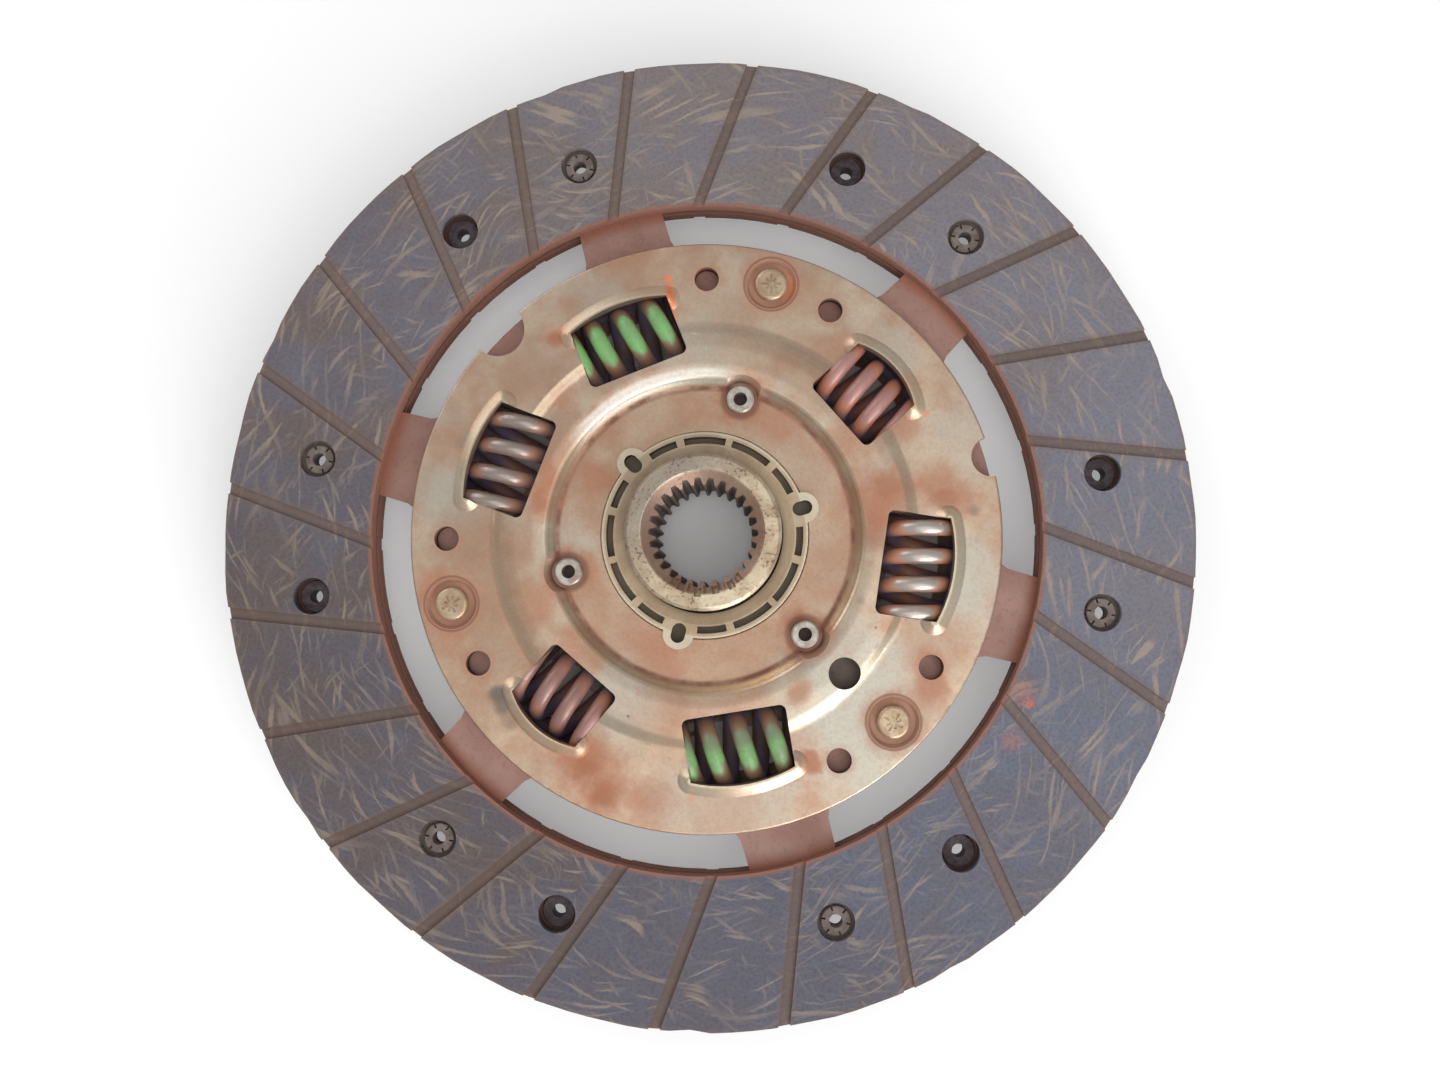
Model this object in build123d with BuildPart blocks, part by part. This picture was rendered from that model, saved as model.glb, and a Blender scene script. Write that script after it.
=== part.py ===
from build123d import *
from math import atan2, cos, degrees, radians, sin, sqrt, tan
import os

os.makedirs("parts", exist_ok=True)

# Sprung clutch disc, 220 mm, lying on its hub's rear face with the gearbox side up.
# Millimetres. Z is the axis, z = 0 is the hub's rear face, +Y points at the first stop pin.

# Hub and its flange
spline_teeth = 26
spline_major = 12.1
spline_minor = 10.7
hub_radius = 17.3
hub_height = 29.5
flange_radius = 64.0
flange_half = 3.0
flange_mid = 12.0
hub_face_radius = 13.7
hub_rear_edge = 0.6
hub_front_edge = 0.7
spline_rear_lead = 2.1
spline_front_lead = 3.0
# half outline of the gap between two spline teeth: radius and half width
spline_gap = [
    (spline_minor - 1, 1.25),
    (spline_minor + 0.3, 0.9),
    (spline_major - 0.2, 0.62),
    (spline_major, 0.4),
]
dent_radius = 0.8
dent_length = 2.6
dents = [
    (12.4, -38, 1.1),
    (12.9, -47, 0.7),
    (12.2, -56, 1.3),
    (12.8, -63, 0.8),
    (12.4, -71, 1.1),
    (13.0, -80, 0.6),
    (12.2, -87, 1.3),
    (12.7, -97, 0.9),
    (12.3, -105, 1.2),
]

# Friction facings
facing_outer = 110.0
facing_inner = 75.95
facing_thick = 3.2
groove_count = 24
groove_angle = 9.0
groove_offset = 28.5
groove_width = 2.5
groove_depth = 0.8
worn_points = 150
worn_depth = 0.3
worn_waves = [(5, 0.06), (13, 0.07), (29, 0.07), (47, 0.06)]
chips = {14: 0.5, 33: 0.35, 52: 0.6, 53: 0.3, 71: 0.4, 96: 0.35, 118: 0.55, 131: 0.4, 144: 0.3}

# Rivets between facings and cushion disc
rivet_circle = 90.5
front_rivet_angle = 3.6
rear_rivet_angle = 23.6
rivet_hole = 2.1
counterbore = 4.2
counterbore_depth = 2.0
rivet_bore = 1.5
rivet_shank = rivet_hole - 0.05
rivet_head = 3.8
rivet_head_thick = 1.0
rivet_roll = 3.4
rivet_roll_height = 0.9
rivet_split_circle = 3.2
rivet_split_length = 1.8
rivet_split_width = 0.4

# Cushion disc, a waved sheet: flat under the front facing, stepped down to the rear one
cushion_thick = 0.9
cushion_wave = 1.0
cushion_ring_inner = 52.5
cushion_ring_outer = 66.2
paddle_inner = 77.5
paddle_outer = 106.0
arm_width = 19.6
arm_foot_width = 23.5
arm_overlap = 2.0
arm_flare = 2.2
arm_flare_side = 0.4
cushion_spring_side = 0.3
cushion_spring_end = 0.6
paddle_slot_angle = -16.4
paddle_slot = 3.0
wave_angle = 13.6
wave_ramp_half = 3.5

# Retainer plates
sheet = 3.2
plate_radius = 67.0
plate_gap = 0.8
rim_step_outer = 48.2
rim_step_inner = 46.0
rim_step_rise = 1.3
dish_outer = 35.9
dish_inner = 33.6
dish_depth = 1.8
bowl_outer = 38.0
bowl_inner = 35.0
bowl_depth = 2.3
rear_bore = 22.1

# Coil springs: angle, half length, wire and pitch, and where the first coil crosses the top
spring_circle = 48.8
spring_radius = 9.25
spring_clearance = 0.3
end_clearance = 0.08
long_half = 11.75
short_half = 9.45
window_inner = 40.2
rear_window_inner = 45.5
rear_tuck = 1.0
# how far a window's outer corners and the top of its arch lie outside the spring circle
window_reach = {long_half: (5.3, 7.5), short_half: (6.0, 8.5)}
window_corner = 1.5
lip_width = 3.1
lip_crest = 0.9
lip_rise = 1.35
lip_root = 0.6
lip_overlap = 0.4
lip_wrap = 150
lip_round = 0.9
seat_lip_foot = window_inner - 2.5
seat_lip_crest = window_inner - 0.5
seat_lip_inside = rear_window_inner + 1
seat_bottom = 1.5
flange_slot_side = 0.6
flange_slot_corner = 0.7
springs = [
    ("spring_green_1", 126.2, long_half, 4.1, 7.1, 5.7),
    ("spring_green_2", 294.0, long_half, 4.1, 7.1, 3.1),
    ("spring_grey_1", 173.8, long_half, 3.6, 6.45, 1.4),
    ("spring_grey_2", 6.2, long_half, 3.6, 6.45, 2.7),
    ("spring_pink_1", 56.2, short_half, 3.7, 6.1, 1.2),
    ("spring_pink_2", 243.8, short_half, 3.7, 6.1, 1.2),
]

# Stop pins and how far they let the hub twist
pin_angles = [90, 210, 330]
pin_circle = 59.4
pin_body = 5.3
pin_shank = 3.75
pin_ring = 5.75
pin_ring_depth = 1.0
pin_proud = 0.45
pin_rear_head = 5.4
pin_rear_height = 1.1
pin_edge = 0.8
stake_marks = [(15, 4.6), (62, 3.4), (104, 4.4), (150, 3.0)]
stake_width = 0.55
stake_depth = 0.4
twist_limit = 8.0
twist_spare = 0.4

# Open holes of the front plate
hole_circle = 58.7
hole_side = 14.4
large_hole_circle = 44.1
hole_radius = 2.8
large_hole_radius = 3.6
large_hole_angle = 330
# half-round notches in the rim: angle and radius
rim_notches = [(150, 6.1), (30, 4.5)]

# Eyelets and bushes
eyelet_circle = 31.8
eyelet_outer = 3.1
eyelet_bore = 1.55
eyelet_flange = 4.1
eyelet_flange_thick = 0.5
eyelet_gap = 0.15
eyelet_proud = 1.5
eyelet_edge = 0.35
eyelet_fit = 0.02
eyelet_recess = 4.15
eyelet_recess_depth = 0.66
eyelet_boss = 5.6
eyelet_pocket = 3.9
eyelet_pocket_taper = -42
plate_bore = 23.5
bush_outer = 23.4
bush_inner = 17.7
bush_guide = 17.38
bush_flange = 34.4
bush_boss = 5.2
bush_lead = 2.6
bush_lead_edge = 2.0
collar_proud = 0.7
collar_slope_width = 2.6
collar_slope_drop = 0.8
collar_slot_depth = 3.0
collar_slot_circle = 21.5
collar_slot_half = 0.8
collar_slots = [(10.5, 28.0), (32.8, 58.0), (62.0, 87.2), (92.0, 109.5)]
lug_slot_circle = 22.9
lug_slot_length = 4.5
lug_slot_width = 3.2
lug_slot_spare = 0.4
lug_slot_cut = 5
lug_circle = 23.1
lug_angles = [30, 150, 270]
lug_radius = 3.5
rub_gap = 0.05
tab_circle = 22.95
tab_width = 6.0
tab_thick = 1.3
tab_spare = 0.4
tab_slot_circle = tab_circle - 1
tab_slot_depth = 3.8
rear_bush_collar = 21.7
rear_bush_flange = 32.5
rear_bush_thick = 1.25
rear_bush_reach = 0.4
ring_outer = 33.0
ring_inner = 21.9
ring_thick = 1.5
leaf_inner = 24.2
leaf_outer = 33.2
leaf_thick = 0.7

# Heights that follow from the stack
flange_top = flange_mid + flange_half
flange_bottom = flange_mid - flange_half
cushion_bottom = flange_top + plate_gap
cushion_top = cushion_bottom + cushion_thick
rim_top = cushion_top + sheet
raised_top = rim_top + rim_step_rise
dish_top = raised_top - dish_depth
facing_top = cushion_top + facing_thick
wing_bottom = cushion_bottom - cushion_wave
rear_facing_bottom = wing_bottom - facing_thick
rear_rim_top = flange_bottom - plate_gap
rear_rim_bottom = rear_rim_top - sheet
rear_raised_bottom = rear_rim_bottom - rim_step_rise
bowl_bottom = rear_raised_bottom - bowl_depth
bowl_top = bowl_bottom + sheet
rivet_grip = cushion_thick + facing_thick - counterbore_depth
rivet_top = rivet_grip + rivet_roll_height
pin_top = rim_top + pin_proud
pin_foot = rear_rim_bottom - pin_rear_height
eyelet_foot = flange_top + eyelet_gap
eyelet_top = dish_top + eyelet_proud
bush_foot = flange_top + rub_gap
bush_flange_top = dish_top - sheet
collar_top = dish_top + collar_proud
rear_bush_top = flange_bottom - rub_gap
rear_bush_face = rear_bush_top - rear_bush_thick
rear_bush_foot = bowl_bottom - rear_bush_reach
ring_bottom = rear_bush_face - ring_thick


def polar(radius, angle):
    """Point at a radius and an angle in degrees about the axis."""
    return (radius * cos(radians(angle)), radius * sin(radians(angle)))


def bend_shift(run, rise):
    """How far a bend's inner corner lies from its outer corner in sheet metal."""
    return sheet * tan(atan2(rise, run) / 2)


def annulus(outer, inner):
    """Ring in the open sketch."""
    Circle(outer)
    Circle(inner, mode=Mode.SUBTRACT)


def window_arch(half, tuck):
    """Distances from the axis of a window's outer corners and of its arch; tuck lowers both."""
    corner, crown = window_reach[half]
    return spring_circle + corner - tuck, spring_circle + crown - tuck


def lip_section(plane, foot, base, outward):
    """Section of a turned-up lip whose inner side stands at foot, above the sheet's face base."""
    with BuildSketch(plane) as section:
        with BuildLine():
            FilletPolyline(
                (foot, base - lip_root * outward),
                (foot, base + lip_rise * outward),
                (foot + lip_crest, base + lip_rise * outward),
                (foot + lip_width, base),
                (foot + lip_width, base - lip_root * outward),
                radius=[0, lip_round, 0],
            )
            Line((foot + lip_width, base - lip_root * outward), (foot, base - lip_root * outward))
        make_face()
    return section.sketch


def add_lips(base, outward, tuck):
    """Lip along the arch of each window and round its outer corners; outward is up or down."""
    for _, angle, half, _, _, _ in springs:
        side, apex = window_arch(half, tuck)
        rise = apex - side
        arc = (half**2 + rise**2) / (2 * rise)
        centre = polar(apex - arc, angle)
        spread = degrees(atan2(half, arc - rise))
        foot = arc - lip_overlap
        corners = [Vector(*centre) + Vector(*polar(foot, angle + side)) for side in (-spread, spread)]
        sweeps = [
            (Vector(*centre), angle - spread, foot, 2 * spread),
            (corners[0], angle - spread - lip_wrap, 0, lip_wrap),
            (corners[1], angle + spread, 0, lip_wrap),
        ]
        for middle, first, reach, turn in sweeps:
            section = Plane(middle, x_dir=(*polar(1, first), 0), z_dir=(*polar(1, first - 90), 0))
            revolve(
                lip_section(section, reach, base, outward),
                axis=Axis(middle, (0, 0, 1)),
                revolution_arc=turn,
            )


def cut_windows(inner, tuck):
    """Opens the six spring windows of a plate and clears the springs from its edges."""
    with BuildSketch(Plane.XY) as outlines:
        for _, angle, half, _, _, _ in springs:
            side, apex = window_arch(half, tuck)
            with BuildLine(Plane.XY.rotated((0, 0, angle))) as outline:
                corners = [(side, -half), (inner, -half), (inner, half), (side, half)]
                FilletPolyline(*corners, radius=window_corner)
                ThreePointArc((side, half), (apex, 0), (side, -half))
            make_face(outline.edges())
    extrude(outlines.sketch, amount=hub_height, mode=Mode.SUBTRACT)
    for _, angle, half, _, _, _ in springs:
        along = Plane((*polar(spring_circle, angle), flange_mid), z_dir=(*polar(1, angle + 90), 0))
        with BuildSketch(along) as envelope:
            Circle(spring_radius + spring_clearance)
        extrude(envelope.sketch, amount=half, both=True, mode=Mode.SUBTRACT)


# Splined hub with its flange
with BuildPart() as hub:
    with BuildSketch(Plane.XZ):
        with BuildLine():
            FilletPolyline(
                (spline_minor, spline_rear_lead),
                (spline_minor + spline_rear_lead, 0),
                (hub_radius - hub_rear_edge, 0),
                (hub_radius, hub_rear_edge),
                (hub_radius, flange_bottom),
                (flange_radius, flange_bottom),
                (flange_radius, flange_top),
                (hub_radius, flange_top),
                (hub_radius, hub_height - hub_front_edge),
                (hub_radius - hub_front_edge, hub_height),
                (hub_face_radius, hub_height),
                (spline_minor, hub_height - spline_front_lead),
                radius=[0, 0, 0, 0, 0.4, 0.4, 0, 0, 0.3, 0.3],
            )
            Line((spline_minor, hub_height - spline_front_lead), (spline_minor, spline_rear_lead))
        make_face()
    revolve(axis=Axis.Z)
    with BuildSketch(Plane.XY):
        with PolarLocations(0, spline_teeth):
            Polygon(*spline_gap, *[(radius, -side) for radius, side in reversed(spline_gap)], align=None)
    extrude(amount=hub_height, mode=Mode.SUBTRACT)
    with BuildSketch(Plane.XY.offset(flange_bottom)):
        for _, angle, half, _, _, _ in springs:
            with Locations(Location((*polar(spring_circle, angle), 0), (0, 0, angle))):
                RectangleRounded(2 * (spring_radius + flange_slot_side), 2 * half, flange_slot_corner)
        notch_half = twist_limit + twist_spare + degrees(pin_body / pin_circle)
        notch_floor = pin_circle - pin_body - 0.6
        notch_mouth = flange_radius + 4
        for angle in pin_angles:
            with BuildLine():
                Polyline(
                    polar(notch_floor, angle - notch_half),
                    polar(notch_mouth, angle - notch_half),
                    polar(notch_mouth, angle + notch_half),
                    polar(notch_floor, angle + notch_half),
                    close=True,
                )
            make_face()
    extrude(amount=2 * flange_half, mode=Mode.SUBTRACT)

    for radius, angle, depth in dents:
        slope = Vector(*polar(1, angle), 1)
        with Locations(Plane((*polar(radius, angle), hub_height - depth), z_dir=slope)):
            Cylinder(dent_radius, dent_length, mode=Mode.SUBTRACT)

# Front retainer plate: flat rim, raised spring zone, dished centre
with BuildPart() as front_retainer_plate:
    step_shift = bend_shift(rim_step_outer - rim_step_inner, rim_step_rise)
    dish_shift = bend_shift(dish_outer - dish_inner, dish_depth)
    with BuildSketch(Plane.XZ):
        with BuildLine():
            FilletPolyline(
                (plate_bore, dish_top - sheet),
                (plate_bore, dish_top),
                (dish_inner, dish_top),
                (dish_outer, raised_top),
                (rim_step_inner, raised_top),
                (rim_step_outer, rim_top),
                (plate_radius, rim_top),
                (plate_radius, cushion_top),
                (rim_step_outer - step_shift, cushion_top),
                (rim_step_inner - step_shift, raised_top - sheet),
                (dish_outer + dish_shift, raised_top - sheet),
                (dish_inner + dish_shift, dish_top - sheet),
                radius=[0.3, 1.5, 1.5, 2.5, 2.5, 0.5, 0.3, 1.5, 1.5, 1.5],
            )
            Line((dish_inner + dish_shift, dish_top - sheet), (plate_bore, dish_top - sheet))
        make_face()
    revolve(axis=Axis.Z)
    with BuildSketch(Plane.XY.offset(dish_top - sheet)):
        with PolarLocations(eyelet_circle, 3, start_angle=90):
            Circle(eyelet_boss)
    extrude(amount=sheet)
    with BuildSketch(Plane.XY.offset(dish_top)):
        with PolarLocations(eyelet_circle, 3, start_angle=90):
            Circle(eyelet_pocket)
    extrude(amount=dish_depth + 0.2, taper=eyelet_pocket_taper, mode=Mode.SUBTRACT)
    add_lips(rim_top, 1, 0)
    cut_windows(window_inner, 0)
    with BuildSketch(Plane.XY.offset(rim_top)):
        with PolarLocations(pin_circle, 3, start_angle=90):
            Circle(pin_ring)
    extrude(amount=-pin_ring_depth, taper=35, mode=Mode.SUBTRACT)
    with BuildSketch(Plane.XY.offset(cushion_bottom)):
        with PolarLocations(pin_circle, 3, start_angle=90):
            Circle(pin_shank)
        with PolarLocations(eyelet_circle, 3, start_angle=90):
            Circle(eyelet_outer + eyelet_fit)
        with PolarLocations(lug_slot_circle, 3, start_angle=30):
            SlotOverall(lug_slot_length + lug_slot_spare, lug_slot_width + lug_slot_spare)
        for angle in pin_angles:
            with Locations(*[polar(hole_circle, angle + side) for side in (-hole_side, hole_side)]):
                Circle(hole_radius)
        with Locations(polar(large_hole_circle, large_hole_angle)):
            Circle(large_hole_radius)
        for angle, radius in rim_notches:
            with Locations(polar(plate_radius, angle)):
                Circle(radius)
    extrude(amount=hub_height, mode=Mode.SUBTRACT)

# Rear retainer plate: the same rim and windows, with a bowl over the friction pieces
with BuildPart() as rear_retainer_plate:
    bowl_shift = bend_shift(bowl_outer - bowl_inner, bowl_depth)
    with BuildSketch(Plane.XZ):
        with BuildLine():
            FilletPolyline(
                (rear_bore, bowl_top),
                (rear_bore, bowl_bottom),
                (bowl_inner, bowl_bottom),
                (bowl_outer, rear_raised_bottom),
                (rim_step_inner, rear_raised_bottom),
                (rim_step_outer, rear_rim_bottom),
                (plate_radius, rear_rim_bottom),
                (plate_radius, rear_rim_top),
                (rim_step_outer - step_shift, rear_rim_top),
                (rim_step_inner - step_shift, rear_rim_top - rim_step_rise),
                (bowl_outer - bowl_shift, rear_rim_top - rim_step_rise),
                (bowl_inner - bowl_shift, bowl_top),
                radius=[0.3, 1.5, 1.5, 2.5, 2.5, 0.5, 0.3, 1.5, 1.5, 1.5],
            )
            Line((bowl_inner - bowl_shift, bowl_top), (rear_bore, bowl_top))
        make_face()
    revolve(axis=Axis.Z)
    add_lips(rear_rim_bottom, -1, rear_tuck)
    for _, angle, half, _, _, _ in springs:
        across = Plane((0, 0, 0), x_dir=(*polar(1, angle), 0), z_dir=(*polar(1, angle - 90), 0))
        with BuildSketch(across) as seat_lip:
            Polygon(
                (seat_lip_foot, rear_raised_bottom + lip_root),
                (seat_lip_foot, rear_raised_bottom),
                (seat_lip_crest, seat_bottom),
                (seat_lip_inside, seat_bottom),
                (seat_lip_inside, rear_raised_bottom + lip_root),
                align=None,
            )
        extrude(seat_lip.sketch, amount=half, both=True)
    cut_windows(rear_window_inner, rear_tuck)
    with BuildSketch(Plane.XY):
        with PolarLocations(pin_circle, 3, start_angle=90):
            Circle(pin_shank)
        with PolarLocations(tab_slot_circle, 4, start_angle=45):
            Rectangle(tab_slot_depth, tab_width + tab_spare)
    extrude(amount=flange_bottom, mode=Mode.SUBTRACT)


def wave_segment(turn):
    """One paddle of the cushion disc: flat, then a ramp down, then flat, seen along its radius."""
    across = Plane((0, 0, 0), x_dir=(*polar(1, turn + 90), 0), z_dir=(*polar(1, turn), 0))
    slot_half = degrees(paddle_slot / 2 / rivet_circle)
    first = turn - wave_angle + paddle_slot_angle + slot_half
    last = first + 60 - 2 * slot_half
    middle = (first + last) / 2
    with BuildPart() as segment:
        with BuildSketch(across):
            with BuildLine():
                Polyline(
                    (-paddle_outer, cushion_bottom),
                    (-wave_ramp_half, cushion_bottom),
                    (wave_ramp_half, wing_bottom),
                    (paddle_outer, wing_bottom),
                    (paddle_outer, wing_bottom + cushion_thick),
                    (wave_ramp_half, wing_bottom + cushion_thick),
                    (-wave_ramp_half, cushion_top),
                    (-paddle_outer, cushion_top),
                    close=True,
                )
            make_face()
        extrude(amount=paddle_outer + 1)
        with BuildSketch(Plane.XY):
            with BuildLine():
                Line(polar(paddle_inner, first), polar(paddle_outer, first))
                ThreePointArc(*[polar(paddle_outer, angle) for angle in (first, middle, last)])
                Line(polar(paddle_outer, last), polar(paddle_inner, last))
                ThreePointArc(*[polar(paddle_inner, angle) for angle in (last, middle, first)])
            make_face()
        extrude(amount=hub_height, mode=Mode.INTERSECT)
    return segment.part


# Cushion disc: ring, six arms and six waved paddles
paddles = [wave_segment(wave_angle + 60 * index) for index in range(6)]
with BuildPart() as cushion_disc:
    with BuildSketch(Plane.XY.offset(cushion_bottom)):
        annulus(cushion_ring_outer, cushion_ring_inner)
        with PolarLocations(0, 6):
            Polygon(
                (cushion_ring_outer - arm_overlap, -arm_foot_width / 2),
                (cushion_ring_outer + arm_flare, -arm_width / 2 - arm_flare_side),
                (paddle_inner + arm_overlap, -arm_width / 2),
                (paddle_inner + arm_overlap, arm_width / 2),
                (cushion_ring_outer + arm_flare, arm_width / 2 + arm_flare_side),
                (cushion_ring_outer - arm_overlap, arm_foot_width / 2),
                align=None,
            )
    extrude(amount=cushion_thick)
    add(paddles)
    with BuildSketch(Plane.XY):
        for _, angle, half, _, _, _ in springs:
            with Locations(Location((*polar(spring_circle, angle), 0), (0, 0, angle))):
                Rectangle(2 * (spring_radius - cushion_spring_side), 2 * (half + cushion_spring_end))
        with PolarLocations(pin_circle, 3, start_angle=90):
            Circle(pin_shank)
        with PolarLocations(rivet_circle, 6, start_angle=front_rivet_angle):
            Circle(rivet_hole)
        with PolarLocations(rivet_circle, 6, start_angle=rear_rivet_angle):
            Circle(rivet_hole)
    extrude(amount=hub_height, mode=Mode.SUBTRACT)


def cut_grooves(height, depth):
    """Straight grooves across a facing, each passing the axis at the same distance."""
    reach = sqrt(facing_outer**2 - groove_offset**2)
    start = sqrt(facing_inner**2 - groove_offset**2)
    with BuildSketch(Plane.XY.offset(height)) as grooves:
        with PolarLocations(0, groove_count, start_angle=groove_angle):
            with Locations(((reach + start) / 2, groove_offset)):
                Rectangle(reach - start + 30, groove_width)
    extrude(grooves.sketch, amount=depth, mode=Mode.SUBTRACT)


def worn_edge(phase):
    """Outline of a facing with the small bumps and flats of a worn, chipped edge."""
    points = []
    for index in range(worn_points):
        turn = index * 360 / worn_points
        wear = sum(size * sin(radians(turn * waves + phase * waves)) for waves, size in worn_waves)
        chip = chips.get(index, 0) if phase == 0 else chips.get((index * 7) % worn_points, 0)
        points.append(polar(facing_outer - worn_depth + wear - chip, turn))
    Polygon(*points, align=None)


# Facings: grooved rings, counterbored for their own rivets and open over the other's heads
with BuildPart() as front_facing:
    with BuildSketch(Plane.XY.offset(cushion_top)):
        worn_edge(0)
        Circle(facing_inner, mode=Mode.SUBTRACT)
        with PolarLocations(rivet_circle, 6, start_angle=front_rivet_angle):
            Circle(rivet_hole, mode=Mode.SUBTRACT)
        with PolarLocations(rivet_circle, 6, start_angle=rear_rivet_angle):
            Circle(counterbore, mode=Mode.SUBTRACT)
    extrude(amount=facing_thick)
    with BuildSketch(Plane.XY.offset(facing_top)):
        with PolarLocations(rivet_circle, 6, start_angle=front_rivet_angle):
            Circle(counterbore)
    extrude(amount=-counterbore_depth, mode=Mode.SUBTRACT)
    cut_grooves(facing_top, -groove_depth)

with BuildPart() as rear_facing:
    with BuildSketch(Plane.XY.offset(rear_facing_bottom)):
        worn_edge(17)
        Circle(facing_inner, mode=Mode.SUBTRACT)
        with PolarLocations(rivet_circle, 6, start_angle=rear_rivet_angle):
            Circle(rivet_hole, mode=Mode.SUBTRACT)
        with PolarLocations(rivet_circle, 6, start_angle=front_rivet_angle):
            Circle(counterbore, mode=Mode.SUBTRACT)
    extrude(amount=facing_thick)
    with BuildSketch(Plane.XY.offset(rear_facing_bottom)):
        with PolarLocations(rivet_circle, 6, start_angle=rear_rivet_angle):
            Circle(counterbore)
    extrude(amount=counterbore_depth, mode=Mode.SUBTRACT)
    cut_grooves(rear_facing_bottom, groove_depth)

# One tubular rivet, its head at z = 0 and its rolled end upwards
with BuildPart() as tubular_rivet:
    with BuildSketch(Plane.XZ):
        with BuildLine():
            FilletPolyline(
                (rivet_bore, -rivet_head_thick),
                (rivet_head, -rivet_head_thick),
                (rivet_head, 0),
                (rivet_shank, 0),
                (rivet_shank, rivet_grip),
                (rivet_roll, rivet_grip),
                (rivet_roll, rivet_top),
                (rivet_bore, rivet_top),
                radius=[0.4, 0, 0, 0, 0.4, 0.4],
            )
            Line((rivet_bore, rivet_top), (rivet_bore, -rivet_head_thick))
        make_face()
    revolve(axis=Axis.Z)
    with BuildSketch(Plane.XY.offset(rivet_grip)):
        with PolarLocations(0, 6):
            with Locations((rivet_split_circle, 0)):
                Rectangle(rivet_split_length, rivet_split_width)
    extrude(amount=rivet_head, mode=Mode.SUBTRACT)

with BuildPart() as front_facing_rivets:
    with PolarLocations(rivet_circle, 6, start_angle=front_rivet_angle):
        add(tubular_rivet.part.moved(Location((0, 0, cushion_bottom))))

with BuildPart() as rear_facing_rivets:
    flipped = Location((0, 0, wing_bottom + cushion_thick), (180, 0, 0))
    with PolarLocations(rivet_circle, 6, start_angle=rear_rivet_angle):
        add(tubular_rivet.part.moved(flipped))

# Stop pins, shouldered between the plates and staked at both ends
with BuildPart() as stop_pin:
    with BuildSketch(Plane.XZ):
        with BuildLine():
            FilletPolyline(
                (0, pin_foot),
                (pin_rear_head, pin_foot),
                (pin_rear_head, rear_rim_bottom),
                (pin_shank, rear_rim_bottom),
                (pin_shank, rear_rim_top),
                (pin_body, rear_rim_top),
                (pin_body, cushion_bottom),
                (pin_shank, cushion_bottom),
                (pin_shank, pin_top),
                (0, pin_top),
                radius=[pin_edge, 0, 0, 0, 0, 0, 0, pin_edge],
            )
            Line((0, pin_top), (0, pin_foot))
        make_face()
    revolve(axis=Axis.Z)
    with BuildSketch(Plane.XY.offset(pin_top)):
        for angle, length in stake_marks:
            Rectangle(length, stake_width, rotation=angle)
    extrude(amount=-stake_depth, mode=Mode.SUBTRACT)

with BuildPart() as stop_pins:
    with PolarLocations(pin_circle, 3, start_angle=90):
        add(stop_pin.part)

# Hollow eyelets that hold the front bush's flange under the plate
with BuildPart() as eyelets:
    with BuildSketch(Plane.XY.offset(eyelet_foot)):
        with PolarLocations(eyelet_circle, 3, start_angle=90):
            Circle(eyelet_flange)
    extrude(amount=eyelet_flange_thick)
    with BuildSketch(Plane.XY.offset(eyelet_foot)):
        with PolarLocations(eyelet_circle, 3, start_angle=90):
            Circle(eyelet_outer)
    extrude(amount=eyelet_top - eyelet_foot)
    chamfer(eyelets.edges().group_by(Axis.Z)[-1], eyelet_edge)
    with BuildSketch(Plane.XY.offset(eyelet_foot)):
        with PolarLocations(eyelet_circle, 3, start_angle=90):
            Circle(eyelet_bore)
    extrude(amount=eyelet_top - eyelet_foot, mode=Mode.SUBTRACT)

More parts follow.
